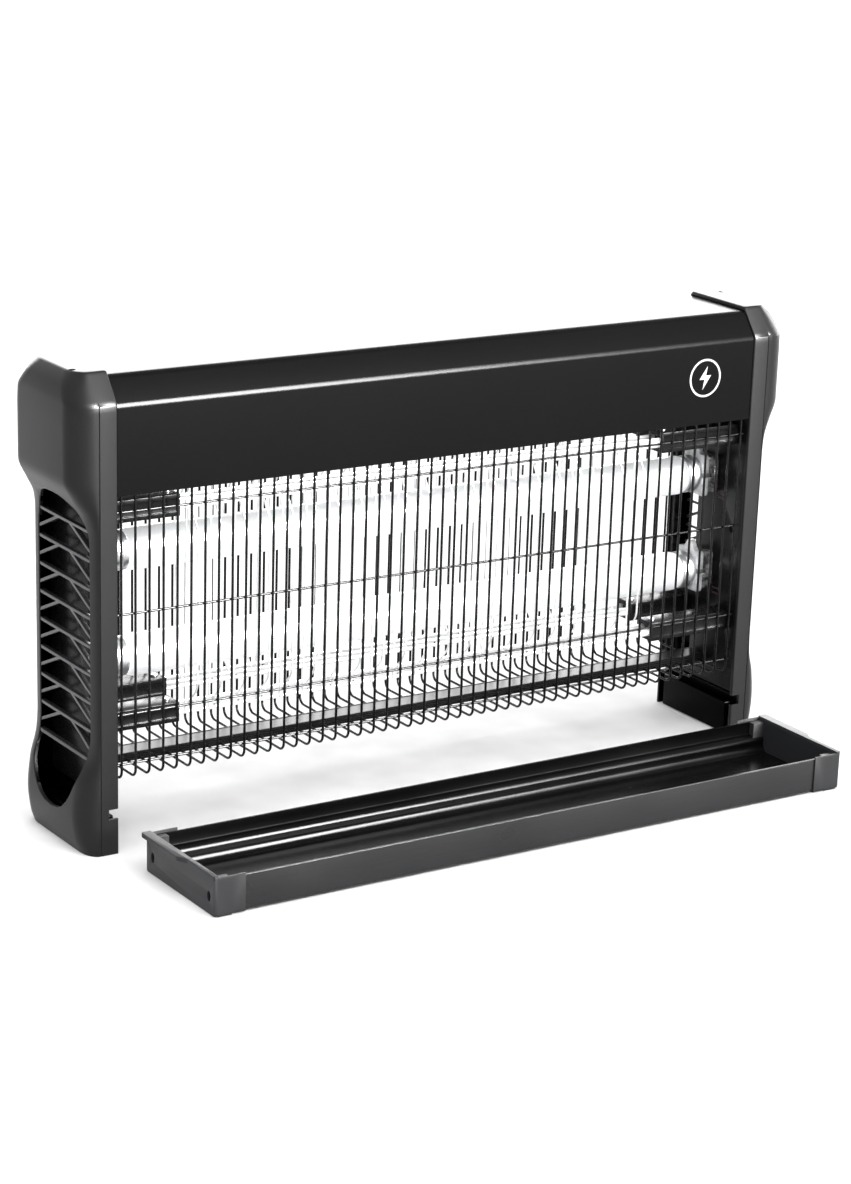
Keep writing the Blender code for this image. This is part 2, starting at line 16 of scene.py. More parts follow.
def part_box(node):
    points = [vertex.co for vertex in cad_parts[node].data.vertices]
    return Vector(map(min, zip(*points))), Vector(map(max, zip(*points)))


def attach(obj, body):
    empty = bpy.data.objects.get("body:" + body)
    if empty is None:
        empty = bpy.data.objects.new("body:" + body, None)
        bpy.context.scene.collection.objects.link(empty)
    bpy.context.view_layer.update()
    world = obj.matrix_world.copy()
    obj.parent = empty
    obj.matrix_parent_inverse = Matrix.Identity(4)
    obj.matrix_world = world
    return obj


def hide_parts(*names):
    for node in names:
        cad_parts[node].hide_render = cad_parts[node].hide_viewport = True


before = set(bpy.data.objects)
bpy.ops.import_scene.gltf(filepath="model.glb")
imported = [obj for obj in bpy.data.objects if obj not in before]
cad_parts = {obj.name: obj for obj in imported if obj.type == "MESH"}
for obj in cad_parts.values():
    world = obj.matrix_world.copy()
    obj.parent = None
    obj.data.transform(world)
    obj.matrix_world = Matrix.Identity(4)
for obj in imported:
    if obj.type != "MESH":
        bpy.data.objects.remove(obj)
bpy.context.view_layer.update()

bl_info = {
    "name": "Insect Killer Builder",
    "version": (1, 0, 0),
    "blender": (4, 5, 0),
    "location": "3D View > Sidebar > Insect Killer",
    "description": "Builds a two-tube electric insect killer and its catch tray as separate pieces",
    "category": "Object",
}

MM = 0.001
CAP_LOW, CAP_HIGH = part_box("end_cap_right")
FRONT = CAP_LOW.y
HALF = CAP_LOW.x / MM  # from the middle to the inner face of an end cap
DEPTH = (CAP_HIGH.y - CAP_LOW.y) / MM
MID = DEPTH / 2
HEIGHT = CAP_HIGH.z / MM
CAP_WIDE = (CAP_HIGH.x - CAP_LOW.x) / MM
GAP = 0.35  # clearance between neighbouring pieces


def span(node):
    """A frame node's box as three (low, high) pairs in the unit's millimetres."""
    low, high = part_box(node)
    return (
        (low.x / MM, high.x / MM),
        ((low.y - FRONT) / MM, (high.y - FRONT) / MM),
        (low.z / MM, high.z / MM),
    )


# ---- sizes and colours that a user may change


def length(name, description, millimetres, high=1000.0):
    return FloatProperty(
        name=name,
        description=description,
        default=millimetres * MM,
        min=0.1 * MM,
        max=high * MM,
        unit="LENGTH",
        precision=4,
    )


def colour(name, description, value):
    return FloatVectorProperty(
        name=name, description=description, default=value, min=0.0, max=1.0, size=3, subtype="COLOR"
    )


class ZapperSizes(PropertyGroup):
    guard_wire: length("Guard wire", "Diameter of the guard grille's wire", 1.6)
    guard_wires: IntProperty(name="Guard wires", description="Upright wires in a grille", default=50, min=2)
    guard_bend: length("Guard bend", "Radius of the hooks at the grille's foot", 5.0)
    grid_wire: length("Grid wire", "Diameter of the high-voltage wire", 1.2)
    grid_pitch: length("Grid pitch", "Distance between wires of one pole", 16.4)
    cover_sheet: length("Cover sheet", "Thickness of the folded cover", 1.4)
    cover_bend: length("Cover bend", "Outer radius of the cover's folds", 6.0)
    cap_wall: length("Cap wall", "Wall thickness of an end cap", 2.2)
    cap_edge: length("Cap edge", "Radius on an end cap's outer edges", 0.9)
    vent_pitch: length("Vent pitch", "Height between two level ribs", 17.4)
    vent_rib: length("Vent rib", "Width of a vent rib", 1.8)
    tray_wall: length("Tray wall", "Thickness of the tray's channel", 1.6)
    mark_height: length("Mark height", "Height of the bolt mark on the cover", 17.0)
    floor: length("Floor", "Side of the square floor", 40000.0, high=90000.0)


class ZapperColours(PropertyGroup):
    cap: colour("End caps", "Moulded end caps", (0.0105, 0.0105, 0.0115))
    cover: colour("Cover", "Powder coat on the cover", (0.0038, 0.0038, 0.0041))
    guard: colour("Guard wire", "Lacquer on the guard grilles", (0.003, 0.003, 0.0035))
    rail: colour("Rail", "Bottom rail", (0.012, 0.012, 0.013))
    grid: colour("Grid steel", "Plated wires and bars", (0.93, 0.935, 0.94))
    arm: colour("Arms", "Insulating arms", (0.008, 0.008, 0.009))
    holder: colour("Lampholders", "Clear lampholders", (0.62, 0.63, 0.64))
    glass: colour("Tubes", "Phosphor-coated glass", (0.90, 0.91, 0.92))
    bright: colour("Tube caps", "Aluminium tube caps", (0.36, 0.365, 0.37))
    tray: colour("Tray", "Anodised tray channel", (0.016, 0.016, 0.0175))
    tray_end: colour("Tray ends", "Moulded tray ends", (0.022, 0.0225, 0.0245))
    mark: colour("Mark", "Printed mark", (0.86, 0.86, 0.86))
    lead: colour("Leads", "Sleeve of the lampholder leads", (0.030, 0.009, 0.014))
    floor: colour("Floor", "Studio floor", (0.93, 0.93, 0.93))


def size(name):
    """A size property in millimetres."""
    return getattr(bpy.context.scene.zapper_sizes, name) / MM


def tint(name):
    return tuple(getattr(bpy.context.scene.zapper_colours, name)) + (1.0,)


# ---- mesh helpers


class Shape:
    """Points and faces of a piece, gathered in the unit's millimetres."""

    def __init__(self):
        self.points = []
        self.faces = []

    def add(self, points, faces):
        base = len(self.points)
        self.points += [tuple(point) for point in points]
        self.faces += [tuple(base + i for i in face) for face in faces]
        return self

    def rings(self, rings, closed=False):
        """A skin through rings of equal length, capped at both ends unless it closes on itself."""
        count = len(rings[0])
        points = [point for ring in rings for point in ring]
        faces = []
        total = len(rings)
        for level in range(total if closed else total - 1):
            low = level * count
            high = (level + 1) % total * count
            for i in range(count):
                j = (i + 1) % count
                faces.append((low + i, low + j, high + j, high + i))
        if not closed:
            last = (total - 1) * count
            faces.append(tuple(range(count))[::-1])
            faces.append(tuple(range(last, last + count)))
        return self.add(points, faces)

    def prism(self, outline, low, high, axis):
        """A flat outline pulled along one axis; the outline holds the other two axes in order."""
        rings = []
        for level in (low, high):
            ring = []
            for a, b in outline:
                point = [a, b]
                point.insert(axis, level)
                ring.append(point)
            rings.append(ring)
        return self.rings(rings)

    def box(self, x, y, z):
        return self.prism(rectangle(x, y), z[0], z[1], 2)

    def wire(self, path, radius, across, sides=10):
        """Round wire along a path that lies in the plane square to `across`."""
        across = Vector(across)
        path = [Vector(point) for point in path]
        rings = []
        for i, point in enumerate(path):
            way = path[min(i + 1, len(path) - 1)] - path[max(i - 1, 0)]
            normal = way.normalized().cross(across)
            ring = []
            for k in range(sides):
                turn = 2 * math.pi * k / sides
                ring.append(point + (across * math.cos(turn) + normal * math.sin(turn)) * radius)
            rings.append(ring)
        return self.rings(rings)

    def turned(self, profile, middle, sides=48):
        """Turned shape about a line along X through `middle`, from (x, radius) pairs."""
        rings = []
        for x, radius in profile:
            ring = []
            for k in range(sides):
                turn = 2 * math.pi * k / sides
                ring.append((x, middle[0] + radius * math.cos(turn), middle[1] + radius * math.sin(turn)))
            rings.append(ring)
        return self.rings(rings)

    def object(self, name):
        """The shape as a mesh object in the row frame, its faces turned outwards."""
        mesh = bpy.data.meshes.new(name)
        moved = [(x * MM, FRONT + y * MM, z * MM) for x, y, z in self.points]
        mesh.from_pydata(moved, [], self.faces)
        work = bmesh.new()
        work.from_mesh(mesh)
        bmesh.ops.recalc_face_normals(work, faces=work.faces)
        work.to_mesh(mesh)
        work.free()
        made = bpy.data.objects.new(name, mesh)
        bpy.context.scene.collection.objects.link(made)
        return made


def baked(obj):
    """The object with its modifiers applied."""
    bpy.context.view_layer.update()
    graph = bpy.context.evaluated_depsgraph_get()
    result = bpy.data.meshes.new_from_object(obj.evaluated_get(graph))
    obj.modifiers.clear()
    old = obj.data
    obj.data = result
    bpy.data.meshes.remove(old)
    result.name = obj.name
    return obj


def carved(target, tool, operation="DIFFERENCE"):
    """Cuts, joins or intersects the target with a tool, which is then removed."""
    change = target.modifiers.new("carve", "BOOLEAN")
    change.operation = operation
    change.solver = "EXACT"
    change.object = tool
    baked(target)
    bpy.data.objects.remove(tool)
    return target


def eased(obj, width, segments=3, angle=35.0):
    """Small rounded edges, as a mould or a press leaves them."""
    edge = obj.modifiers.new("edges", "BEVEL")
    edge.width = width * MM
    edge.segments = segments
    edge.limit_method = "ANGLE"
    edge.angle_limit = math.radians(angle)
    edge.use_clamp_overlap = True
    return baked(obj)


def piece(obj, material, body, nodes=(), smooth=38.0):
    """Gives an object its finish, its body and the frame nodes that it stands for."""
    obj.data.materials.clear()
    obj.data.materials.append(material)
    obj.data.shade_smooth()
    obj.data.set_sharp_from_angle(angle=math.radians(smooth))
    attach(obj, body)
    if nodes:
        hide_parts(*nodes)
    return obj


def circle(middle, radius, sides):
    turn = 2 * math.pi / sides
    return [
        (middle[0] + radius * math.cos(turn * i), middle[1] + radius * math.sin(turn * i))
        for i in range(sides)
    ]


def rectangle(a, b, inset=0.0):
    """Corners of a rectangle between two (low, high) pairs, moved in by an inset."""
    low_a, high_a = a[0] + inset, a[1] - inset
    low_b, high_b = b[0] + inset, b[1] - inset
    return [(low_a, low_b), (high_a, low_b), (high_a, high_b), (low_a, high_b)]


def rounded(corners, radius, steps=5, closed=False):
    """A line through flat corners, each inner one turned into an arc.

    `radius` is one value for all corners or a list with one for each.
    """
    count = len(corners)
    radii = [radius] * count if isinstance(radius, (int, float)) else list(radius)
    result = []
    for i, corner in enumerate(corners):
        here = Vector(corner)
        if not closed and i in (0, count - 1) or radii[i] <= 0:
            result.append(tuple(here))
            continue
        back = Vector(corners[i - 1]) - here
        ahead = Vector(corners[(i + 1) % count]) - here
        room = 0.49 * min(back.length, ahead.length)
        back.normalize()
        ahead.normalize()
        half = back.angle(ahead) / 2
        if half > math.radians(89.5):
            result.append(tuple(here))
            continue
        reach = min(radii[i] / math.tan(half), room)
        true = reach * math.tan(half)
        centre = here + (back + ahead).normalized() * (true / math.sin(half))
        first = here + back * reach - centre
        last = here + ahead * reach - centre
        sweep = first.angle_signed(last)
        for step in range(steps + 1):
            turn = -sweep * step / steps
            x = first.x * math.cos(turn) - first.y * math.sin(turn)
            y = first.x * math.sin(turn) + first.y * math.cos(turn)
            result.append((centre.x + x, centre.y + y))
    return result


def offset_line(path, amount):
    """The line moved sideways by an amount, to its left."""
    result = []
    for i, point in enumerate(path):
        here = Vector(point)
        before = here - Vector(path[i - 1]) if i else Vector(path[1]) - here
        after = Vector(path[i + 1]) - here if i + 1 < len(path) else before
        before = before.normalized()
        after = after.normalized()
        side = Vector((-before.y - after.y, before.x + after.x)).normalized()
        reach = amount / max(0.4, side.dot(Vector((-before.y, before.x))))
        result.append((here.x + side.x * reach, here.y + side.y * reach))
    return result


def strip_outline(path, thickness):
    """Outline of a bent sheet whose left face follows the path."""
    return list(path) + offset_line(path, -thickness)[::-1]


def flipped(outline):
    """A (y, z) outline turned front to back."""
    return [(DEPTH - y, z) for y, z in outline]


def through(knots, at):
    """A smooth curve without overshoot through (position, value) knots."""
    for i in range(len(knots) - 1):
        if at <= knots[i + 1][0]:
            break

    def slope(k):
        if k <= 0 or k >= len(knots) - 1:
            return 0.0
        left = (knots[k][1] - knots[k - 1][1]) / (knots[k][0] - knots[k - 1][0])
        right = (knots[k + 1][1] - knots[k][1]) / (knots[k + 1][0] - knots[k][0])
        return 0.0 if left * right <= 0 else 2 * left * right / (left + right)

    (low, a), (high, b) = knots[i], knots[i + 1]
    wide = high - low
    t = min(1.0, max(0.0, (at - low) / wide))
    start = slope(i) if i else (b - a) / wide
    end = slope(i + 1) if i + 2 < len(knots) else (b - a) / wide
    return (
        a * (1 + 2 * t) * (1 - t) ** 2
        + wide * start * t * (1 - t) ** 2
        + b * t * t * (3 - 2 * t)
        + wide * end * t * t * (t - 1)
    )


# ---- finishes

GRAIN_PITCH = 0.55  # distance between the grains of a moulded face


class Nodes:
    """Short way to add and link shader nodes."""

    def __init__(self, name):
        self.material = bpy.data.materials.new(name)
        self.material.use_nodes = True
        self.tree = self.material.node_tree
        self.shader = self.tree.nodes["Principled BSDF"]
        where = self.tree.nodes.new("ShaderNodeTexCoord")
        self.where = where.outputs["Object"]

    def stretched(self, scale):
        """Object coordinates stretched, for brushed or drawn surfaces."""
        mapping = self.tree.nodes.new("ShaderNodeMapping")
        mapping.inputs["Scale"].default_value = scale
        self.tree.links.new(self.where, mapping.inputs["Vector"])
        return mapping.outputs["Vector"]

    def noise(self, scale, detail=3.0, roughness=0.55, where=None):
        node = self.tree.nodes.new("ShaderNodeTexNoise")
        node.inputs["Scale"].default_value = scale
        node.inputs["Detail"].default_value = detail
        node.inputs["Roughness"].default_value = roughness
        self.tree.links.new(where or self.where, node.inputs["Vector"])
        return node.outputs["Fac"]

    def ranged(self, value, low, high, start=0.25, end=0.75):
        node = self.tree.nodes.new("ShaderNodeMapRange")
        node.inputs["From Min"].default_value = start
        node.inputs["From Max"].default_value = end
        node.inputs["To Min"].default_value = low
        node.inputs["To Max"].default_value = high
        self.tree.links.new(value, node.inputs["Value"])
        return node.outputs["Result"]

    def blended(self, factor, first, second):
        node = self.tree.nodes.new("ShaderNodeMix")
        node.data_type = "RGBA"
        node.inputs["A"].default_value = first
        node.inputs["B"].default_value = second
        self.tree.links.new(factor, node.inputs["Factor"])
        return node.outputs["Result"]

    def mottled(self, factor, base, dark, light):
        """The base colour wandering between a darker and a lighter shade of itself."""
        spread = self.ranged(factor, 0.0, 1.0)
        self.give("Base Color", self.blended(spread, shaded(base, dark), shaded(base, light)))

    def bumped(self, height, distance, strength=1.0, normal=None):
        node = self.tree.nodes.new("ShaderNodeBump")
        node.inputs["Distance"].default_value = distance * MM
        node.inputs["Strength"].default_value = strength
        self.tree.links.new(height, node.inputs["Height"])
        if normal:
            self.tree.links.new(normal, node.inputs["Normal"])
        return node.outputs["Normal"]

    def give(self, socket, value):
        if isinstance(value, bpy.types.NodeSocket):
            self.tree.links.new(value, self.shader.inputs[socket])
        else:
            self.shader.inputs[socket].default_value = value


def shaded(base, factor):
    """A colour made lighter or darker."""
    return (min(1.0, base[0] * factor), min(1.0, base[1] * factor), min(1.0, base[2] * factor), 1.0)


def moulded(name, base, rough, grain=0.05, gloss=0.5):
    """Moulded plastic: spark-eroded grain, faint flow marks and a little spread in gloss."""
    nodes = Nodes(name)
    broad = nodes.noise(18.0, 2.0)
    fine = nodes.noise(1000.0 / GRAIN_PITCH, 4.0, 0.6)
    nodes.mottled(broad, base, 0.88, 1.14)
    nodes.give("Roughness", nodes.ranged(fine, rough - 0.05, rough + 0.06))
    nodes.give("Specular IOR Level", gloss)
    flow = nodes.bumped(broad, 0.12, 0.5)
    nodes.give("Normal", nodes.bumped(fine, grain, 0.45, flow))
    return nodes.material


def powder_coat(name, base, rough, gloss):
    """Satin powder coat with orange peel and sparse dust under the film."""
    nodes = Nodes(name)
    peel = nodes.noise(420.0, 2.0, 0.5)
    dust = nodes.noise(2600.0, 2.0, 0.7)
    broad = nodes.noise(9.0, 2.0)
    nodes.mottled(broad, base, 0.85, 1.2)
    nodes.give("Roughness", nodes.ranged(dust, rough - 0.03, rough + 0.05))
    nodes.give("Specular IOR Level", gloss)
    skin = nodes.bumped(peel, 0.035, 0.35)
    nodes.give("Normal", nodes.bumped(dust, 0.008, 0.3, skin))
    return nodes.material


def lacquered(name, base, rough):
    """Dipped gloss lacquer on wire, thicker and thinner along it."""
    nodes = Nodes(name)
    runs = nodes.noise(160.0, 2.0)
    fine = nodes.noise(1500.0, 2.0)
    nodes.mottled(runs, base, 0.8, 1.5)
    nodes.give("Roughness", nodes.ranged(runs, rough - 0.06, rough + 0.08))
    nodes.give("Specular IOR Level", 0.16)
    nodes.give("Normal", nodes.bumped(fine, 0.03, 0.3))
    return nodes.material


def drawn_metal(name, base, rough, grain=(1.0, 40.0, 40.0), tarnish=0.8, metal=1.0):
    """Bright metal with draw lines along its length and a little tarnish."""
    nodes = Nodes(name)
    lines = nodes.noise(60.0, 4.0, 0.6, nodes.stretched(grain))
    stain = nodes.noise(35.0, 3.0)
    nodes.mottled(stain, base, tarnish, 1.0)
    nodes.give("Metallic", metal)
    nodes.give("Roughness", nodes.ranged(lines, rough - 0.06, rough + 0.1))
    nodes.give("Normal", nodes.bumped(lines, 0.004, 0.25))
    return nodes.material


def anodised(name, base, rough, gloss):
    """Dark anodised extrusion: die lines along X under a satin skin."""
    nodes = Nodes(name)
    lines = nodes.noise(90.0, 5.0, 0.65, nodes.stretched((0.6, 26.0, 26.0)))
    broad = nodes.noise(12.0, 2.0)
    nodes.mottled(lines, base, 0.8, 1.25)
    nodes.give("Roughness", nodes.ranged(broad, rough - 0.04, rough + 0.05))
    nodes.give("Specular IOR Level", gloss)
    nodes.give("Normal", nodes.bumped(lines, 0.015, 0.3))
    return nodes.material


def phosphor_glass(name, base):
    """Glass tube with a white powder inside: smooth gloss over a soft, slightly uneven white that also glows a
    little, as painted light.
    """
    nodes = Nodes(name)
    cloud = nodes.noise(30.0, 3.0)
    nodes.mottled(cloud, base, 0.96, 1.0)
    nodes.give("Roughness", nodes.ranged(cloud, 0.32, 0.4))
    nodes.give("Subsurface Weight", 0.15)
    nodes.give("Subsurface Scale", 0.004)
    # painted light: the white coat glows faintly, which brightens the tube
    nodes.give("Emission Color", base)
    nodes.give("Emission Strength", 0.42)
    nodes.give("Coat Weight", 0.8)
    nodes.give("Coat Roughness", 0.03)
    return nodes.material


def clear_plastic(name, base, dark, light, low, high):
    """Milky clear plastic with the metal contacts behind it showing through as darker patches."""
    nodes = Nodes(name)
    inside = nodes.noise(170.0, 4.0, 0.7)
    seen = nodes.ranged(inside, 0.0, 1.0, low, high)
    nodes.give("Base Color", nodes.blended(seen, shaded(base, dark), shaded(base, light)))
    nodes.give("Roughness", nodes.ranged(inside, 0.16, 0.3))
    nodes.give("Normal", nodes.bumped(nodes.noise(300.0, 2.0), 0.04, 0.25))
    nodes.give("Transmission Weight", 0.15)
    nodes.give("Coat Weight", 0.5)
    nodes.give("Coat Roughness", 0.06)
    return nodes.material


def printed(name, base):
    """Screen-printed ink with a dry, slightly broken surface."""
    nodes = Nodes(name)
    dry = nodes.noise(2200.0, 3.0)
    nodes.mottled(dry, base, 0.93, 1.0)
    nodes.give("Roughness", nodes.ranged(dry, 0.5, 0.62))
    nodes.give("Normal", nodes.bumped(dry, 0.01, 0.3))
    return nodes.material


def laminated(name, base):
    """Stack of varnished transformer plates."""
    nodes = Nodes(name)
    plates = nodes.noise(400.0, 1.0, 0.5, nodes.stretched((1.0, 1.0, 14.0)))
    nodes.mottled(plates, base, 0.5, 1.4)
    nodes.give("Metallic", 0.7)
    nodes.give("Roughness", nodes.ranged(plates, 0.35, 0.6))
    nodes.give("Normal", nodes.bumped(plates, 0.2, 0.6))
    return nodes.material


FINISHES = {
    "cap plastic": lambda: moulded("cap plastic", tint("cap"), 0.34, gloss=0.15),
    # the inner plate takes the cap's colour at half: painted shade in the cap's hollow
    "cap inside": lambda: moulded("cap inside", shaded(tint("cap"), 0.5), 0.28, gloss=0.12),
    # the cap's colour nearly black: painted shade for the cap's inward faces, its ledge and its foot
    "cap foot": lambda: moulded("cap foot", shaded(tint("cap"), 0.06), 0.22, gloss=0.03),
    # the vent ribs take the cap's colour doubled and glossier: painted light on their lit edges
    "cap rib": lambda: moulded("cap rib", shaded(tint("cap"), 2.0), 0.28, gloss=0.5),
    "cover paint": lambda: powder_coat("cover paint", tint("cover"), 0.22, 0.06),
    "guard lacquer": lambda: lacquered("guard lacquer", tint("guard"), 0.24),
    "rail paint": lambda: anodised("rail paint", tint("rail"), 0.28, 0.10),
    "grid steel": lambda: drawn_metal("grid steel", tint("grid"), 0.34, tarnish=0.95, metal=0.3),
    "arm plastic": lambda: moulded("arm plastic", tint("arm"), 0.26, 0.02, gloss=0.12),
    "holder plate": lambda: clear_plastic("holder plate", tint("holder"), 0.6, 1.15, 0.3, 0.6),
    "holder body": lambda: clear_plastic("holder body", tint("holder"), 0.08, 0.5, 0.4, 0.62),
    "rotor plastic": lambda: moulded("rotor plastic", shaded(tint("holder"), 0.22), 0.3, 0.02),
    "tube glass": lambda: phosphor_glass("tube glass", tint("glass")),
    "tube cap": lambda: drawn_metal("tube cap", tint("bright"), 0.3, (30.0, 1.0, 1.0), tarnish=0.95),
    "pin brass": lambda: drawn_metal("pin brass", (0.75, 0.58, 0.30, 1.0), 0.2),
    "tray channel": lambda: anodised("tray channel", tint("tray"), 0.30, 0.22),
    # the channel's inside takes the tray's colour at a fifth and less gloss: painted shade
    "tray inside": lambda: anodised("tray inside", shaded(tint("tray"), 0.2), 0.2, 0.06),
    "tray end": lambda: moulded("tray end", tint("tray_end"), 0.38, gloss=0.17),
    "screw steel": lambda: drawn_metal("screw steel", shaded(tint("grid"), 0.55), 0.3, (4.0, 4.0, 4.0)),
    "mark ink": lambda: printed("mark ink", tint("mark")),
    "lead sleeve": lambda: moulded("lead sleeve", tint("lead"), 0.3, 0.01),
    "deck steel": lambda: drawn_metal("deck steel", (0.55, 0.56, 0.57, 1.0), 0.38, (12.0, 12.0, 12.0)),
    "ballast plates": lambda: laminated("ballast plates", (0.10, 0.085, 0.07, 1.0)),
    "module case": lambda: moulded("module case", (0.015, 0.02, 0.035, 1.0), 0.35),
    "starter can": lambda: moulded("starter can", (0.75, 0.75, 0.73, 1.0), 0.3, 0.01),
    "inlet plastic": lambda: moulded("inlet plastic", (0.012, 0.012, 0.012, 1.0), 0.4),
    "studio floor": lambda: moulded("studio floor", tint("floor"), 0.6, 0.0, gloss=0.0),
}


def finish(name):
    """The named finish, made the first time that it is asked for."""
    return bpy.data.materials.get(name) or FINISHES[name]()


# ---- end caps

STRIP = 11.5  # flat strip beside the grille
CREASE = 0.4  # depth of the fine groove along the strip
CHAMFER_Z = 274.2
CHAMFER_Y = 13.5
CHAMFER_SOFT = 2.2  # how far either side of the fold the front face is rounded
SHOULDER = 14.0
CAP_STRAIGHT = (72.0, 196.0)  # heights between which the cap's side runs straight
SWELL = (  # (height, how far the cap stands out past its strip)
    (0.0, 8.0),
    (8.0, 11.0),
    (24.0, 13.0),
    (42.0, 11.0),
    (60.0, 4.5),
    (CAP_STRAIGHT[0], 3.0),
    (CAP_STRAIGHT[1], 3.0),
    (206.0, 5.0),
    (217.0, 11.0),
    (230.0, 17.0),
    (262.0, 17.0),
    (CHAMFER_Z, 16.5),
    (284.0, 14.0),
    (HEIGHT, 8.0),
)
TRAY_SLOT_Z = (22.2, 28.6)
TRAY_SLOT = 6.4
FOOT_BLOCK = (18.0, (7.0, 76.0), (0.4, 22.2))  # reach outwards, y, z
PLATE = (1.5, 3.5)
PLATE_TOP = 272.0
PLATE_END = 51.6  # the windows are behind this line
WINDOWS_Z = ((34.0, 70.0), (90.0, 198.0))
CLIP_Z = (142.0, 76.0)
CLIP_Y = 14.0
CLIP = 2.9  # half height of a clip hole
EYE_HOLE = (17.0, 60.0, 2.1)  # outwards, y, radius
VENT_Z = (22.0, 216.0)
VENT_Y = 8.5
VENT_STRAIGHT = (80.0, 188.0)
VENT_RIBS = 9  # level ribs
VENT_FIRST = 59.2  # height of the lowest level rib
VENT_STEP = 5.9  # how far above a level rib the slanting rib starts at the vent's edge
VENT_JOINT = 26.0  # how far in from the edge it meets the next level rib
VENT_SUNK = 0.5  # how far the ribs lie under the skin
VENT_DEEP = 3.2


def front_at(z):
    """How far the front has stepped back at a height: upright, a rounded fold, then the chamfer."""
    slope = CHAMFER_Y / (HEIGHT - CHAMFER_Z)
    past = z - CHAMFER_Z
    if past <= -CHAMFER_SOFT:
        return 0.0
    if past >= CHAMFER_SOFT:
        return slope * past
    return slope * (past + CHAMFER_SOFT) ** 2 / (4 * CHAMFER_SOFT)


def cap_ring(z, inset, crease, edge):
    """The cap's outline at one height as (outward, y) points."""
    swell = through(SWELL, z)
    start = front_at(z) + inset
    corner = [(-inset if inset > 1 else inset, start)]
    if edge:
        corner = []
        for step in range(4):
            turn = math.pi / 2 * step / 3
            corner.append((inset + edge * (1 - math.cos(turn)), start + edge * (1 - math.sin(turn))))
    half = corner + [(STRIP - 0.4, start), (STRIP, start + crease), (STRIP + 0.4, start)]
    steps = 12
    for step in range(1, steps + 1):
        turn = math.pi / 2 * step / steps
        reach = max(0.2, swell - 0.4)
        out = STRIP + 0.4 + reach * math.sin(turn)
        back = front_at(z) + SHOULDER * (1 - math.cos(turn))
        normal = Vector((SHOULDER * math.sin(turn), -reach * math.cos(turn))).normalized()
        half.append((out - normal.x * inset, back - normal.y * inset))
    return half + [(out, DEPTH - y) for out, y in reversed(half)]


def cap_levels(low, high, edge):
    """Heights of the cap's rings: close together where the skin bends, far apart where it is straight."""
    levels = [low]
    z = low
    while z < high:
        near_fold = abs(z - CHAMFER_Z) < CHAMFER_SOFT + 0.5
        straight = CAP_STRAIGHT[0] + 4 < z < CAP_STRAIGHT[1] - 12
        z += 0.55 if near_fold else 12.0 if straight else 3.0
        if z < high - edge - 0.2:
            levels.append(z)
    if edge:
        levels += [high - edge + edge * math.sin(math.pi / 2 * step / 4) for step in range(5)]
    else:
        levels.append(high)
    return levels


def cap_solid(inset, low, high, edge=0.0, crease=0.0):
    """Solid inside the cap's skin, right-hand cap."""
    shape = Shape()
    rings = []
    for z in cap_levels(low, high, edge):
        lost = 0.0
        if edge and z > high - edge:
            lost = edge - math.sqrt(max(0.0, edge**2 - (z - high + edge) ** 2))
        fade = min(1.0, max(0.0, (CHAMFER_Z + 4 - z) / 6))
        ring = cap_ring(min(z, HEIGHT), inset + lost, crease * fade, edge)
        rings.append([(HALF + out, y, z) for out, y in ring])
    shape.rings(rings)
    return shape


def skin_at(y, z):
    """How far outwards the cap's skin stands at a point of its side."""
    y = min(y, DEPTH - y)
    behind = min(1.0, max(0.0, (y - front_at(z)) / SHOULDER))
    return HALF + STRIP + through(SWELL, z) * math.sin(math.acos(1 - behind))


def leaf_outline():
    """The vent's rounded-leaf outline in depth and height."""
    steps = 9
    lower = []
    upper = []
    for step in range(steps + 1):
        turn = math.pi / 2 * step / steps
        y = MID - (MID - VENT_Y) * math.sin(turn) ** 0.8
        lower.append((y, VENT_STRAIGHT[0] - (VENT_STRAIGHT[0] - VENT_Z[0]) * math.cos(turn)))
        upper.append((y, VENT_STRAIGHT[1] + (VENT_Z[1] - VENT_STRAIGHT[1]) * math.cos(turn)))
    front = lower + upper[::-1]
    outline = front + [(DEPTH - y, z) for y, z in front[1:-1]][::-1]
    return outline if signed_area(outline) > 0 else outline[::-1]


def signed_area(outline):
    return sum(a * d - b * c for (a, b), (c, d) in zip(outline, outline[1:] + outline[:1])) / 2


def clipped(cell, outline):
    """The part of a convex cell inside a convex outline, both turning the same way."""
    kept = cell
    for (ay, az), (by, bz) in zip(outline, outline[1:] + outline[:1]):
        result = []
        for p, q in zip(kept, kept[1:] + kept[:1]):
            side_p = (by - ay) * (p[1] - az) - (bz - az) * (p[0] - ay)
            side_q = (by - ay) * (q[1] - az) - (bz - az) * (q[0] - ay)
            if side_p >= 0:
                result.append(p)
            if (side_p >= 0) != (side_q >= 0):
                t = side_p / (side_p - side_q)
                result.append((p[0] + t * (q[0] - p[0]), p[1] + t * (q[1] - p[1])))
        kept = result
        if len(kept) < 3:
            return []
    return kept


def moved_in(cell, amount):
    """A convex cell with each side moved inwards."""
    far = 2000.0
    result = [(-far, -far), (far, -far), (far, far), (-far, far)]
    for (ay, az), (by, bz) in zip(cell, cell[1:] + cell[:1]):
        along = Vector((by - ay, bz - az)).normalized()
        inward = Vector((-along.y, along.x))
        start = Vector((ay, az)) + inward * amount
        plane = [
            tuple(start - along * far),
            tuple(start + along * far),
            tuple(start + along * far + inward * far * 2),
            tuple(start - along * far + inward * far * 2),
        ]
        result = clipped(result, plane)
        if not result:
            return []
    return result


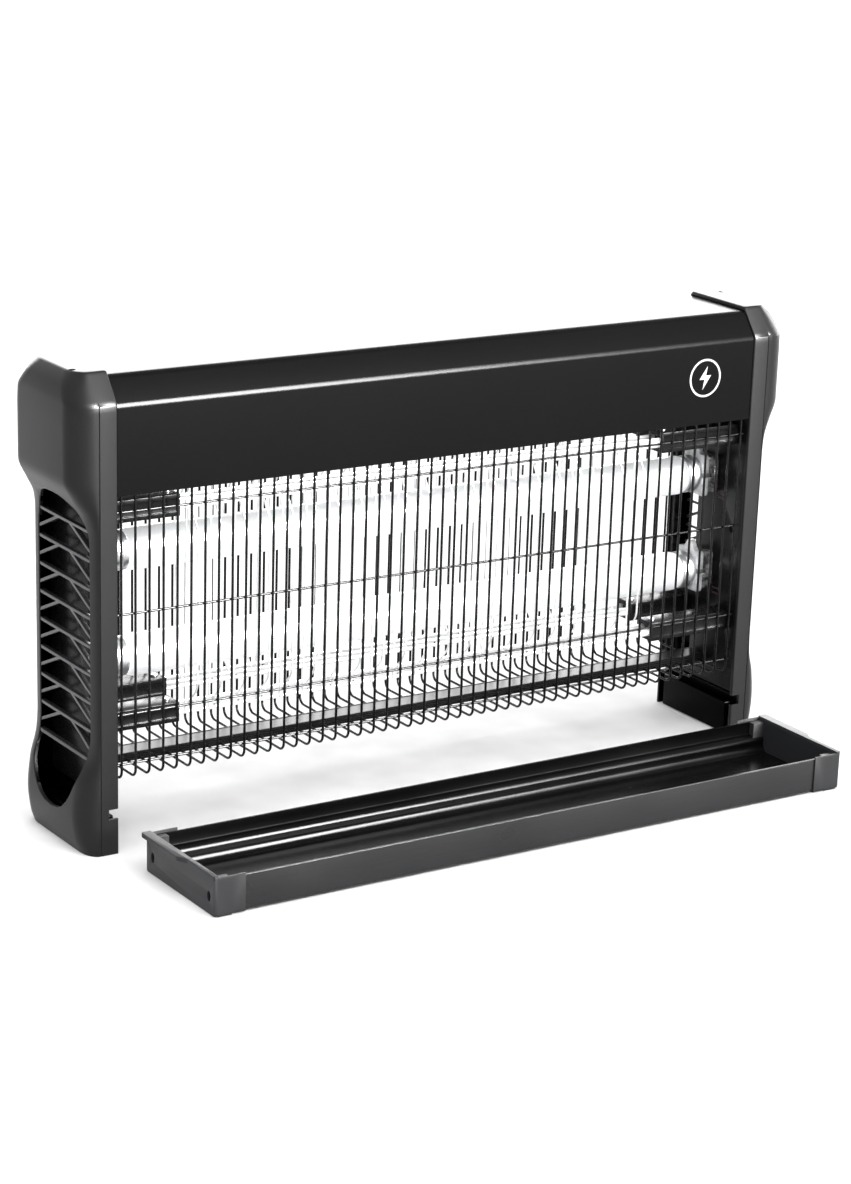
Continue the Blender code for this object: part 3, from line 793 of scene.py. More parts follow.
def vent_cells():
    """Openings between the level ribs and the ribs that slant up to the next level one from both edges."""
    pitch = size("vent_pitch")
    past = 4.0  # cells run this far past the leaf's edge
    front, back = VENT_Y - past, DEPTH - VENT_Y + past
    joints = (VENT_Y + VENT_JOINT, DEPTH - VENT_Y - VENT_JOINT)
    last = VENT_FIRST + pitch * (VENT_RIBS - 1)
    low_tip, high_tip = VENT_Z[0] - past, VENT_Z[1] + past
    cells = [
        [(front, low_tip), (back, low_tip), (back, VENT_FIRST), (front, VENT_FIRST)],
        [(front, last), (back, last), (back, high_tip), (front, high_tip)],
    ]
    for k in range(VENT_RIBS - 1):
        low = VENT_FIRST + k * pitch
        high = low + pitch
        slant = low + VENT_STEP - past * (pitch - VENT_STEP) / VENT_JOINT
        cells.append([(front, slant), (joints[0], high), (front, high)])
        cells.append([(back, high), (joints[1], high), (back, slant)])
        floor = [(front, low), (back, low)]
        cells.append(floor + [(back, slant), (joints[1], high), (joints[0], high), (front, slant)])
    inner = [moved_in(cell, size("vent_rib") / 2) for cell in cells]
    return [cell for cell in inner if cell]


def rim_cutter(outline, flare):
    """Cutter for a hole in the cap's side, flared where it meets the skin."""
    wide = [tuple(point) for point in offset_line(outline + outline[:1], -flare * 2)[:-1]]
    rings = [
        [(HALF + PLATE[1] + 3.0, y, z) for y, z in outline],
        [(skin_at(y, z) - flare, y, z) for y, z in outline],
        [(skin_at(y, z) + flare, *other) for (y, z), other in zip(outline, wide)],
        [(HALF + CAP_WIDE + 6.0, *other) for other in wide],
    ]
    return Shape().rings(rings)


def turned_for(obj, side):
    """Both caps come from one mould: the left one is the right one turned half round."""
    if side < 0:
        middle = Vector((0.0, FRONT + MID * MM, 0.0))
        turn = Matrix.Translation(middle) @ Matrix.Rotation(math.pi, 4, "Z") @ Matrix.Translation(-middle)
        obj.data.transform(turn)
    return obj


def cap_shell(name):
    wall = size("cap_wall")
    shell = cap_solid(0.0, 0.0, HEIGHT, size("cap_edge"), CREASE).object(name)
    carved(shell, cap_solid(wall, -wall, HEIGHT - wall).object("cavity"))
    notches = Shape()
    for y in ((-2.0, wall + 2.0), (DEPTH - wall - 2.0, DEPTH + 2.0)):
        notches.box((HALF - 2, HALF + TRAY_SLOT), y, TRAY_SLOT_Z)
    carved(shell, notches.object("notches"))
    carved(shell, rim_cutter(leaf_outline(), 0.5).object("vent"))
    out, y, radius = EYE_HOLE
    hole = Shape().prism(circle((HALF + out, y), radius, 20), HEIGHT - 12, HEIGHT + 5, 2)
    return carved(shell, hole.object("eye"))


def cap_ribs(name):
    """Level and slanting blades of the vent, sunk a little under the skin and following it."""
    ribs = cap_solid(VENT_SUNK, VENT_Z[0] - 8, VENT_Z[1] + 8).object(name)
    core = cap_solid(VENT_SUNK + VENT_DEEP, VENT_Z[0] - 20, VENT_Z[1] + 20).object("core")
    carved(ribs, core)
    leaf = moved_in_leaf(-0.4)
    column = Shape().prism(leaf, HALF + PLATE[1] + 2.5, HALF + CAP_WIDE + 8, 0)
    carved(ribs, column.object("column"), "INTERSECT")
    cells = Shape()
    for cell in vent_cells():
        cells.prism(cell, HALF + PLATE[1], HALF + CAP_WIDE + 12, 0)
    return carved(ribs, cells.object("cells"))


def moved_in_leaf(amount):
    leaf = leaf_outline()
    return [tuple(point) for point in offset_line(leaf + leaf[:1], amount)[:-1]]


def cap_plate(name):
    """Inner plate that carries the lampholders: two windows and two blind clip holes."""
    wall = size("cap_wall")
    low = TRAY_SLOT_Z[1] + 0.4
    plate = Shape().box((HALF + PLATE[0], HALF + PLATE[1]), (wall / 2, DEPTH - wall / 2), (low, PLATE_TOP))
    made = plate.object(name)
    cuts = Shape()
    back = DEPTH - wall - 2
    for z in WINDOWS_Z:
        cuts.prism(rounded(rectangle((PLATE_END, back), z), 2.0, 4, True), HALF - 1, HALF + 6, 0)
    for z in CLIP_Z:
        slot = [(CLIP_Y + y * 0.7, z + h) for y, h in circle((0.0, 0.0), CLIP, 20)]
        cuts.prism(slot, HALF - 1, HALF + PLATE[0] + 1.4, 0)
    carved(made, cuts.object("cuts"))
    return eased(made, 0.35, 2)


def cap_ledge(name):
    """Channel behind the tray's slot: its back wall stands on the foot block, its ceiling joins the plate."""
    wall = size("cap_wall")
    back = HALF + TRAY_SLOT + 0.3
    ceiling = (TRAY_SLOT_Z[1] + 0.5, TRAY_SLOT_Z[1] + 1.9)
    ledge = Shape().box((back, back + 1.4), (wall, DEPTH - wall), (TRAY_SLOT_Z[0] - 0.4, ceiling[1]))
    ledge.box((HALF + PLATE[0], back + 0.7), (wall, DEPTH - wall), ceiling)
    return ledge.object(name)


def cap_foot(name):
    """Foot block between the slot of the tray and the floor, open underneath, with softly rounded edges."""
    reach, y, z = FOOT_BLOCK
    skin = 1.6
    block = Shape().box((HALF, HALF + reach), y, z).object(name)
    inside = Shape().box(
        (HALF + skin, HALF + reach - skin), (y[0] + skin, y[1] - skin), (z[0] - 1, z[1] - skin - 0.4)
    )
    carved(block, inside.object("hollow"))
    return eased(block, 0.8, 3)


def paint_inner_shade(obj, material):
    """Paints shade on the cap's faces that look inwards, deeper than the rims of its holes: they take the
    near-black shade finish as a second material.
    """
    obj.data.materials.append(material)
    corners = [Vector(corner) for corner in obj.bound_box]
    middle = sum(corners, Vector()) / len(corners)
    deep = size("cap_wall") * 0.75
    for face in obj.data.polygons:
        out, y, z = abs(face.center.x) / MM, (face.center.y - FRONT) / MM, face.center.z / MM
        inward = (face.center - middle).dot(face.normal) < 0
        if inward and 0 < y < DEPTH and skin_at(y, min(z, HEIGHT)) - out > deep:
            face.material_index = 1


def build_cap(label, side):
    node = f"end_cap_{label}"
    shell = turned_for(cap_shell(f"cap_shell_{label}"), side)
    piece(shell, finish("cap plastic"), "unit", [node], 32.0)
    # painted shade: the cap's inward faces take the near-black copy of its colour
    paint_inner_shade(shell, finish("cap foot"))
    ribs = turned_for(cap_ribs(f"cap_vent_{label}"), side)
    # painted light: the ribs are a lighter copy of the cap's colour
    piece(eased(ribs, 0.3, 2, 50.0), finish("cap rib"), "unit")
    plate = turned_for(cap_plate(f"cap_plate_{label}"), side)
    # painted shade: the plate is a darker copy of the cap's colour
    piece(plate, finish("cap inside"), "unit")
    ledge = turned_for(cap_ledge(f"cap_ledge_{label}"), side)
    # the ledge and the foot take the near-black copy of the cap's colour too: painted shade
    piece(ledge, finish("cap foot"), "unit")
    foot = turned_for(cap_foot(f"cap_foot_{label}"), side)
    piece(foot, finish("cap foot"), "unit")


# ---- cover

COVER_X, COVER_Y, COVER_Z = span("top_cover")
COVER_EDGE = 273.2
COVER_CHAMFER = 13.0
DECK_LIP = 6.0
DECK_LIP_Z = 228.0
INLET_FLANGE = 3.0  # how far the inlet's flange reaches past the hole in the cover
INLET_PIN = (4.2, 1.2)  # how far a pin stands from the inlet's middle, radius
INLET_SOCKET = 3.8  # radius of the socket's round ends
MARK_PLACE = (38.0, 4.0)  # in from the cover's right end, above the middle of its front
MARK_INK = (-0.12, 0.05)  # how far the ink reaches in front of the cover and into it
MARK_BOLT = ((0.10, 0.50), (-0.30, -0.06), (-0.03, -0.06), (-0.12, -0.50), (0.30, 0.10), (0.03, 0.10))
MARK_BOLT_HIGH = 0.9  # height of the bolt and radii of the ring, as shares of the mark's height
MARK_RING = (0.66, 0.735)


def cover_path():
    """Outer line of the cover's section from the front's lower edge over the top to the back's."""
    front = [
        (COVER_Y[0], COVER_Z[0]),
        (COVER_Y[0], COVER_EDGE),
        (COVER_CHAMFER, COVER_Z[1]),
    ]
    corners = front + flipped(front)[::-1]
    bend = size("cover_bend")
    return rounded(corners, [0, bend, bend, bend, bend, 0], 7)


def build_cover_shell():
    sheet = size("cover_sheet")
    shape = Shape().prism(strip_outline(cover_path(), sheet), COVER_X[0], COVER_X[1], 0)
    for turn in (lambda line: line, flipped):
        inside = COVER_Y[0] + sheet - 0.05
        lip = turn(rectangle((inside, inside + DECK_LIP), (DECK_LIP_Z, DECK_LIP_Z + sheet)))
        shape.prism(lip, COVER_X[0], COVER_X[1], 0)
    cover = shape.object("cover_sheet")
    x, _depth, z = span("power_inlet")
    mouth = rounded(rectangle(x, z, INLET_FLANGE), 1.2, 4, True)
    hole = Shape().prism(mouth, COVER_Y[1] - sheet - 1, COVER_Y[1] + 2, 1)
    carved(cover, hole.object("mouth"))
    piece(cover, finish("cover paint"), "unit", ["top_cover"], 25.0)


def build_mark():
    """Plain lightning bolt in a ring, printed on the front near the right end."""
    high = size("mark_height")
    x = COVER_X[1] - MARK_PLACE[0]
    z = (COVER_Z[0] + COVER_EDGE) / 2 + MARK_PLACE[1]
    ink = (COVER_Y[0] + MARK_INK[0], COVER_Y[0] + MARK_INK[1])
    tall = high * MARK_BOLT_HIGH
    shape = Shape().prism([(x + a * tall, z + b * tall) for a, b in MARK_BOLT], ink[0], ink[1], 1)
    inner, outer = (circle((x, z), radius * high, 72) for radius in MARK_RING)
    section = ((ink[0], inner), (ink[0], outer), (ink[1], outer), (ink[1], inner))
    shape.rings([[(a, y, b) for a, b in edge] for y, edge in section], closed=True)
    piece(shape.object("cover_mark"), finish("mark ink"), "unit")


def build_inlet():
    """Two-pole inlet: flange behind the sheet, a body with a round-ended socket and two pins."""
    x, y, z = span("power_inlet")
    mid_x, mid_z = sum(x) / 2, sum(z) / 2
    apart, pin = INLET_PIN
    nose = rounded(rectangle(x, z, INLET_FLANGE + 0.3), 1.0, 4, True)
    body = Shape().prism(nose, y[0], y[1], 1).object("inlet_body")
    back = y[1] - size("cover_sheet") - GAP
    flange = Shape().prism(rounded(rectangle(x, z), 2.0, 4, True), back - 3.2, back, 1)
    carved(body, flange.object("flange"), "UNION")
    slot = []
    for end, start in ((mid_x - apart, math.pi / 2), (mid_x + apart, -math.pi / 2)):
        for step in range(11):
            turn = start + math.pi * step / 10
            slot.append((end + INLET_SOCKET * math.cos(turn), mid_z + INLET_SOCKET * math.sin(turn)))
    carved(body, Shape().prism(slot, y[1] - 12, y[1] + 2, 1).object("socket"))
    piece(eased(body, 0.3, 2), finish("inlet plastic"), "unit", ["power_inlet"])
    pins = Shape()
    for way in (-1, 1):
        at = mid_x + way * apart
        pins.wire([(at, y[1] - 13, mid_z), (at, y[1] - 6, mid_z)], pin, (1, 0, 0), 16)
    piece(pins.object("inlet_pins"), finish("pin brass"), "unit")


# ---- grilles and rail

CROSS_Z = {"front": (209.0, 147.0, 85.0, 54.0), "back": (209.0, 153.0, 87.5, 54.0)}
GUARD_HALF = 227.0  # from the middle to the outermost upright
CROSS_SUNK = 0.25  # how far a cross wire is pressed into the uprights at a weld
RAIL_X, RAIL_Y, RAIL_Z = span("bottom_rail")
RAIL_RIBS = 4
RAIL_RIB = 0.5  # how far a rib of the rail stands out


def build_grille(label, at_back):
    """Hooked uprights with four cross wires welded behind them."""
    radius = size("guard_wire") / 2
    x, y, z = span(f"grille_{label}")
    front = (DEPTH - y[1] if at_back else y[0]) + radius
    foot = z[0] + radius
    path = rounded([(front, z[1]), (front, foot), (RAIL_Y[0] - GAP, foot)], size("guard_bend"), 8)
    if at_back:
        path = flipped(path)
    count = bpy.context.scene.zapper_sizes.guard_wires
    shape = Shape()
    for k in range(count):
        at = -GUARD_HALF + 2 * GUARD_HALF * k / (count - 1)
        shape.wire([(at, a, b) for a, b in path], radius, (1, 0, 0), 10)
    behind = front + 2 * radius - CROSS_SUNK
    if at_back:
        behind = DEPTH - behind
    for height in CROSS_Z[label]:
        shape.wire([(x[0], behind, height), (x[1], behind, height)], radius, (0, 0, 1), 10)
    guard = shape.object(f"guard_{label}")
    piece(guard, finish("guard lacquer"), "unit", [f"grille_{label}"], 60.0)


def build_rail():
    """Flat bar with ribbed long faces and a shallow channel along its top."""
    low, high = RAIL_Z
    tall = high - low
    face = RAIL_Y[0]
    front = []
    for k in range(RAIL_RIBS):
        base = low + tall * k / RAIL_RIBS
        peak = base + tall / RAIL_RIBS
        front += [
            (face + RAIL_RIB, base + 0.05),
            (face, base + 0.35),
            (face, peak - 0.35),
            (face + RAIL_RIB, peak - 0.05),
        ]
    top = [(RAIL_Y[0] + 1.2, high), (RAIL_Y[0] + 1.6, high - 0.3)]
    half = front + top
    outline = half + flipped(half)[::-1]
    rail = Shape().prism(outline, RAIL_X[0], RAIL_X[1], 0).object("rail_bar")
    piece(rail, finish("rail paint"), "unit", ["bottom_rail"], 25.0)


# ---- high-voltage grid

BAR_HALF = 226.0
BAR_TOP = (204.0, 210.5)
BAR_LOW = (76.0, 81.5)
GRID_FACE = 13.7
GRID_BACK = 23.0
BAR = 1.2


def wire_places(at_back, shifted):
    """Where one pole's wires stand, clear of the arms at both ends."""
    ends = [span(f"arm_top_{'back' if at_back else 'front'}_{label}")[0] for label in ("left", "right")]
    low, high = ends[0][1] + 5.0, ends[1][0] - 5.0
    pitch = size("grid_pitch")
    start = low + (pitch / 2 if shifted else 0.0)
    return [start + pitch * k for k in range(int((high - start) / pitch) + 1)]


def pierced_bar(name, places, y, z, radius):
    """Flat bar with a small hole beside each wire."""
    bar = Shape().box((-BAR_HALF, BAR_HALF), y, z).object(name)
    holes = Shape()
    for x in places:
        holes.prism(circle((x + size("grid_pitch") / 4, sum(z) / 2), radius, 12), y[0] - 1, y[1] + 1, 1)
    carved(bar, holes.object("holes"))
    return bar


def build_comb(label, at_back, shifted):
    """One pole of the grid: round wires between an upper and a lower pierced bar."""
    radius = size("grid_wire") / 2
    pole = "b" if shifted else "a"
    name = f"{label}_{pole}"
    places = wire_places(at_back, shifted)
    if shifted:
        path = rounded(
            [
                (GRID_BACK, BAR_TOP[1] - 1),
                (GRID_BACK, BAR_TOP[0] - 1),
                (GRID_FACE, BAR_TOP[0] - 15),
                (GRID_FACE, BAR_LOW[1] + 9),
                (GRID_BACK, BAR_LOW[1] - 1.5),
                (GRID_BACK, BAR_LOW[0] + 1),
            ],
            [0, 1.5, 2.5, 11.0, 1.5, 0],
            6,
        )
    else:
        path = [(GRID_FACE, BAR_TOP[1] - 1), (GRID_FACE, BAR_LOW[0] + 1)]
    if at_back:
        path = flipped(path)
    wires = Shape()
    for x in places:
        wires.wire([(x, a, b) for a, b in path], radius, (1, 0, 0), 10)
    face = GRID_BACK if shifted else GRID_FACE
    bar = (face + radius - 0.2, face + radius - 0.2 + BAR)
    if at_back:
        bar = (DEPTH - bar[1], DEPTH - bar[0])
    obj = wires.object(f"grid_wires_{name}")
    piece(obj, finish("grid steel"), "unit", [f"hv_comb_{name}"], 60.0)
    for height, z in (("top", BAR_TOP), ("low", BAR_LOW)):
        made = pierced_bar(f"grid_bar_{height}_{name}", places, bar, z, 0.85)
        piece(eased(made, 0.18, 2), finish("grid steel"), "unit")


ARM_WEB = (17.6, 20.2)
ARM_FLANGE = 3.0
ARM_WALL = 1.6  # wall in front of and behind the ducts that the bars lie in
ARM_GROOVE = 0.7  # depth of the long hollow in the arm's face


def build_arm(height, label, side_label):
    """Insulating arm: two ducts beside a web, a hollow along each face and a fixing screw."""
    node = f"arm_{height}_{label}_{side_label}"
    x, y, z = span(node)
    web = ARM_WEB if label == "front" else (DEPTH - ARM_WEB[1], DEPTH - ARM_WEB[0])
    room = (z[0] + ARM_FLANGE, z[1] - ARM_FLANGE)
    arm = Shape().box(x, y, z).object(f"insulator_{height}_{label}_{side_label}")
    ducts = Shape()
    for low, high in ((y[0] + ARM_WALL, web[0]), (web[1], y[1] - ARM_WALL)):
        ducts.box((x[0] - 1, x[1] + 1), (low, high), room)
    for low, high in ((y[0] - 1, y[0] + ARM_GROOVE), (y[1] - ARM_GROOVE, y[1] + 1)):
        ducts.box((x[0] + 2, x[1] - 2), (low, high), room)
    carved(arm, ducts.object("ducts"))
    piece(eased(arm, 0.45, 3), finish("arm plastic"), "unit", [node])
    way = 1 if side_label == "left" else -1
    tip = x[1] if way > 0 else x[0]
    at, middle = tip - way * 5.0, sum(y) / 2
    head = Shape().prism(circle((at, middle), 2.4, 24), z[1] - 0.1, z[1] + 1.1, 2)
    screw = head.object(f"arm_screw_{height}_{label}_{side_label}")
    drive = Shape().box((at - 2.0, at + 2.0), (middle - 0.3, middle + 0.3), (z[1] + 0.4, z[1] + 3))
    carved(screw, drive.object("drive"))
    piece(eased(screw, 0.2, 2), finish("screw steel"), "unit")


# ---- tubes and lampholders


# Each pair is a distance along the tube and how far the surface lies inside the tube's full radius.
GLASS_NECK = ((0.0, 4.0), (0.9, 2.2), (2.4, 0.9), (4.6, 0.2), (7.0, 0.0))  # in from the glass's end
CRIMP = ((0.0, 1.6), (0.5, 0.75), (3.2, 0.6), (3.7, 1.0), (4.4, 1.0), (4.9, 0.6))  # out from the cap's rim
CAP_NOSE = ((2.8, 0.6), (1.4, 1.3), (0.5, 2.8), (0.0, 5.0))  # in from the cap's face
CAP_OVERLAP = 1.6  # how far a metal cap reaches over the glass
TUBE_FACE = 218.7  # from the middle to a metal cap's face
PIN_APART = 6.35  # from the tube's middle line to a pin
PIN_SHAPE = ((-0.5, 1.2), (6.2, 1.2), (6.8, 0.85), (7.0, 0.4))  # (out from the cap's face, radius)


def build_tube(level):
    """Coated glass with drawn-in ends, two bright caps with crimps, and their pins."""
    body = f"{level}_tube"
    x, y, z = span(f"tube_{level}")
    middle = (sum(y) / 2, sum(z) / 2)
    radius = (y[1] - y[0]) / 2
    end = x[1]
    half = [(end - a, radius - r) for a, r in GLASS_NECK]
    profile = [(-a, r) for a, r in half] + [(a, r) for a, r in reversed(half)]
    glass = Shape().turned(profile, middle, 64).object(f"glass_{level}")
    piece(glass, finish("tube glass"), body, [f"tube_{level}"], 60.0)
    for label, side in (("left", -1), ("right", 1)):
        inner = end - CAP_OVERLAP
        skirt = [(inner + a, radius - r) for a, r in CRIMP] + [(TUBE_FACE - a, radius - r) for a, r in CAP_NOSE]
        cap = Shape().turned([(side * a, r) for a, r in skirt], middle, 64)
        made = cap.object(f"tube_end_{level}_{label}")
        piece(made, finish("tube cap"), body, [f"tube_{level}_cap_{label}"], 50.0)
        pins = Shape()
        for way in (-1, 1):
            spot = (middle[0], middle[1] + way * PIN_APART)
            pins.turned([(side * (TUBE_FACE + a), r) for a, r in PIN_SHAPE], spot, 20)
        piece(pins.object(f"tube_pins_{level}_{label}"), finish("pin brass"), body)


HOLDER_PLATE = 3.8  # thickness of a lampholder's light front plate
HOLDER_STEP = 1.6  # how far its body stands back inside the plate's outline
SOCKET = 8.6
SOCKET_DEEP = 8.4
ROTOR = ((1.2, 3.0), (1.2, 7.4), (1.8, 8.2), (7.8, 8.2))  # (in from the plate's face, radius)
POCKET = (7.6, 2.6)  # how far a pocket's middle is above or below the tube's, half height
LEAD = 0.55
LEAD_FALL = 9.0  # how far a lead drops on its way to the end cap


def holder_outline(y, z, top):
    """Outline of a lampholder's front plate, with its peaked lug."""
    corners = [
        (y[0], z[0]), (y[1], z[0]), (y[1], top), (MID + 6.0, top),
        (MID + 1.6, z[1]), (MID - 1.6, z[1]), (MID - 6.0, top), (y[0], top),
    ]
    return rounded(corners, [2.0, 2.0, 2.0, 1.0, 1.2, 1.2, 1.0, 2.0], 4, True)


def build_holder(level, label):
    """Lampholder: light plate with a peaked lug, a clear body behind it, a slotted rotor and two leads."""
    side = -1 if label == "left" else 1
    node = f"holder_{level}_{label}"
    x, y, z = span(node)
    centre = sum(span(f"tube_{level}")[2]) / 2
    inner, outer = (x[0], x[1]) if side > 0 else (-x[1], -x[0])
    top = 2 * centre - z[0]
    seam = inner + HOLDER_PLATE

    def hollowed(block):
        deep = (side * (inner - 2), side * (inner + SOCKET_DEEP))
        carved(block, Shape().prism(circle((MID, centre), SOCKET, 40), *deep, 0).object("bore"))
        entry = Shape().box(sorted(deep), (y[0] - 2, MID - 4), (centre - 1.7, centre + 1.7))
        return carved(block, entry.object("entry"))

    plate = Shape().prism(holder_outline(y, z, top), side * inner, side * seam, 0)
    plate = hollowed(plate.object(f"lampholder_{level}_{label}"))
    piece(eased(plate, 0.4, 2), finish("holder plate"), "unit", [node])
    low, high = z[0] + HOLDER_STEP, top - HOLDER_STEP
    front, back = y[0] + HOLDER_STEP, y[1] - HOLDER_STEP
    corners = rounded(rectangle((front, back), (low, high)), 1.2, 4, True)
    body = Shape().prism(corners, side * (seam - 0.2), side * outer, 0)
    body = hollowed(body.object(f"lampholder_body_{level}_{label}"))
    pockets = Shape()
    long = sorted((side * (seam + 1.4), side * (outer - 1.6)))
    for way in (-1, 1):
        spot = centre + way * POCKET[0]
        pockets.box(long, (front - 1, front + 1.0), (spot - POCKET[1], spot + POCKET[1]))
    carved(body, pockets.object("pockets"))
    piece(eased(body, 0.35, 2), finish("holder body"), "unit")

    disc = Shape().turned([(side * (inner + a), r) for a, r in ROTOR], (MID, centre), 48)
    disc = disc.object(f"rotor_{level}_{label}")
    deep = sorted((side * (inner - 1), side * (inner + 7.0)))
    slit = Shape().box(deep, (MID - 1.6, MID + 1.6), (centre - 9, centre + 9))
    carved(disc, slit.object("slit"))
    piece(eased(disc, 0.2, 2), finish("rotor plastic"), f"{level}_tube")

    leads = Shape()
    for drop in (3.0, 6.5):
        start, bend = (outer - 3.2, front + 1.0), (outer - 2.2, front - 3.5)
        path = rounded([start, bend, (outer + 1.0, front - 8.0)], [0, 1.6, 0], 6)
        fall = LEAD_FALL / (len(path) - 1)
        points = [(side * a, b, centre - drop - fall * step) for step, (a, b) in enumerate(path)]
        leads.wire(points, LEAD, (0, 0, 1), 12)
    piece(leads.object(f"leads_{level}_{label}"), finish("lead sleeve"), "unit")


# ---- catch tray

TRAY_X, TRAY_Y, TRAY_Z = span("tray_channel")
END_X, END_Y, END_Z = span("tray_end_right")
TRAY_HALF = 229.8  # from the middle to an end's outer face
SLEEVE = 20.0  # how far an end reaches round the channel
SKIN = 0.9
FLANGE = 4.0  # how far the flange stands out past the end's face
FLANGE_LONG = 44.0  # depth of that wide stretch, from the back
BEAD = 5.5
COLLAR = 7.2  # depth of the block that holds the bead at each corner
COLLAR_LONG = 11.0
TRAY_SCREW = (7.5, 11.0)  # a screw's place: in from the end's long face, height


def tray_half():
    """Front half of the channel's section from the middle of the floor out and up, inner face first."""
    wall = size("tray_wall")
    out = TRAY_Y[0]
    low = TRAY_Z[0]
    inside = out + wall
    floor = low + wall
    inner = [(inside, TRAY_Z[1] - 0.3), (inside, floor + 12.6), (inside + 0.25, floor + 11.9)]
    for step in range(13):
        turn = math.pi / 2 * step / 12
        inner.append((inside + 0.3 + (BEAD - 0.3) * math.sin(turn), floor + 7.2 + 4.4 * math.cos(turn)))
    inner += [(inside + BEAD - 0.3, floor + 6.0)]
    for step in range(9):
        turn = math.pi / 2 * step / 8
        inner.append((inside + BEAD - 0.3 + 5.0 * (1 - math.cos(turn)), floor + 5.2 * (1 - math.sin(turn))))
    corners = [(out + 0.3, TRAY_Z[1]), (out, TRAY_Z[1] - 0.3), (out, low), (out + 8, low)]
    return inner, rounded(corners, [0, 0.2, 0.8, 0], 4)[:-1]


def build_channel():
    inner, outer = tray_half()
    half = inner[::-1] + [(inner[0][0] - 0.3, TRAY_Z[1])] + outer
    middle = sum(TRAY_Y) / 2
    outline = half + [(2 * middle - y, z) for y, z in half[::-1]]
    channel = Shape().prism(outline, TRAY_X[0], TRAY_X[1], 0).object("tray_bed")
    piece(channel, finish("tray channel"), "tray", ["tray_channel"], 30.0)
    # painted shade: the faces inside the channel take a darker, duller copy of the tray's colour
    channel.data.materials.append(finish("tray inside"))
    for face in channel.data.polygons:
        y, z = (face.center.y - FRONT) / MM, face.center.z / MM
        if TRAY_Y[0] + 0.6 < y < TRAY_Y[1] - 0.6 and z > TRAY_Z[0] + 0.6:
            face.material_index = 1


def build_tray_end(label, side):
    """Moulded end: wall, sleeve round the channel, stepped flange and two screws in oval recesses."""
    half = TRAY_HALF
    front, back = END_Y
    top = END_Z[1]
    low = END_Z[0]
    outline = rounded([(front, top - 1.0), (front, low), (back, low), (back, top - 1.0)], [0, 1.6, 1.6, 0], 5)
    body = Shape().prism(outline, side * (half - SLEEVE), side * half, 0).object(f"tray_cap_{label}")
    room = Shape().box(
        sorted((side * (half - SLEEVE - 5), side * (half - 2.4))),
        (front + SKIN, back - SKIN),
        (low + SKIN, top + 5),
    )
    carved(body, room.object("room"))
    long = sorted((side * (half - COLLAR_LONG), side * (half - 2.0)))
    for deep in ((front, front + COLLAR), (back - COLLAR, back)):
        collar = Shape().box(long, deep, (low, top - 2.6))
        carved(body, collar.object("collar"), "UNION")
    edge = [
        (half - 2.2, back - 0.3),
        (half + FLANGE, back - 0.3),
        (half + FLANGE, back - FLANGE_LONG),
        (half + 0.7, back - FLANGE_LONG - 7.0),
        (half + 0.7, front + 0.3),
        (half - 2.2, front + 0.3),
    ]
    edge = rounded([(side * a, b) for a, b in edge], [0.6, 1.2, 4.0, 4.0, 0.8, 0.6], 5, True)
    flange = Shape().prism(edge, top - 2.8, top, 2)
    carved(body, flange.object("flange"), "UNION")
    ovals = Shape()
    places = (front + TRAY_SCREW[0], back - TRAY_SCREW[0])
    for y in places:
        spot = [(y + a * 2.0, TRAY_SCREW[1] + b * 3.2) for a, b in circle((0.0, 0.0), 1.0, 20)]
        ovals.prism(spot, side * (half - 1.4), side * (half + 2), 0)
    carved(body, ovals.object("ovals"))
    piece(eased(body, 0.4, 3, 40.0), finish("tray end"), "tray", [f"tray_end_{label}"])
    head = [(side * (half - a), radius) for a, radius in ((1.5, 1.8), (1.0, 1.75), (0.75, 1.2))]
    screws = Shape()
    for y in places:
        screws.turned(head, (y, TRAY_SCREW[1]), 24)
    # the screws take the same near-black finish that paints shade inside the caps
    piece(screws.object(f"tray_screws_{label}"), finish("cap foot"), "tray")


# ---- electronics under the cover


def dress(node, name):
    """A frame node that keeps its own shape takes a finish."""
    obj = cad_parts[node]
    obj.data.materials.clear()
    obj.data.materials.append(finish(name))


# ---- stage

EYE = Vector((-1.041146, -1.556599, 0.692015))  # metres in the whole object's frame
LENS_HEADING = 0.612342  # radians to the right of straight ahead
LENS_DIP = 0.342871
LENS_ROLL = 0.043294
LENS = 95.61
LENS_SHIFT = (-0.0848, 0.1476)
WORLD = 1.03  # strength of the even white surroundings
OVERHEAD = 1.3  # strength of the wide light straight above
OVERHEAD_SPREAD = 75.0


def build_camera():
    data = bpy.data.cameras.new("studio_camera")
    data.lens = LENS
    data.sensor_width = 36.0
    data.shift_x, data.shift_y = LENS_SHIFT
    data.clip_start, data.clip_end = 0.05, 60.0
    camera = bpy.data.objects.new("studio_camera", data)
    ahead = Vector((
        math.sin(LENS_HEADING) * math.cos(LENS_DIP),
        math.cos(LENS_HEADING) * math.cos(LENS_DIP),
        -math.sin(LENS_DIP),
    ))
    right = Vector((math.cos(LENS_HEADING), -math.sin(LENS_HEADING), 0.0))
    up = right.cross(ahead)
    rolled_right = right * math.cos(LENS_ROLL) + up * math.sin(LENS_ROLL)
    rolled_up = up * math.cos(LENS_ROLL) - right * math.sin(LENS_ROLL)
    turn = Matrix((rolled_right, rolled_up, -ahead)).transposed()
    camera.matrix_world = Matrix.Translation(EYE) @ turn.to_4x4()
    bpy.context.scene.collection.objects.link(camera)
    bpy.context.scene.camera = camera


def softbox(name, place, aim, wide, high, power, only_gloss=False):
    """Rectangular studio light facing a point."""
    data = bpy.data.lights.new(name, "AREA")
    data.shape = "RECTANGLE"
    data.size, data.size_y = wide, high
    data.energy = power
    lamp = bpy.data.objects.new(name, data)
    lamp.location = place
    lamp.rotation_euler = (Vector(aim) - Vector(place)).to_track_quat("-Z", "Y").to_euler()
    lamp.visible_camera = False
    lamp.visible_diffuse = not only_gloss
    bpy.context.scene.collection.objects.link(lamp)


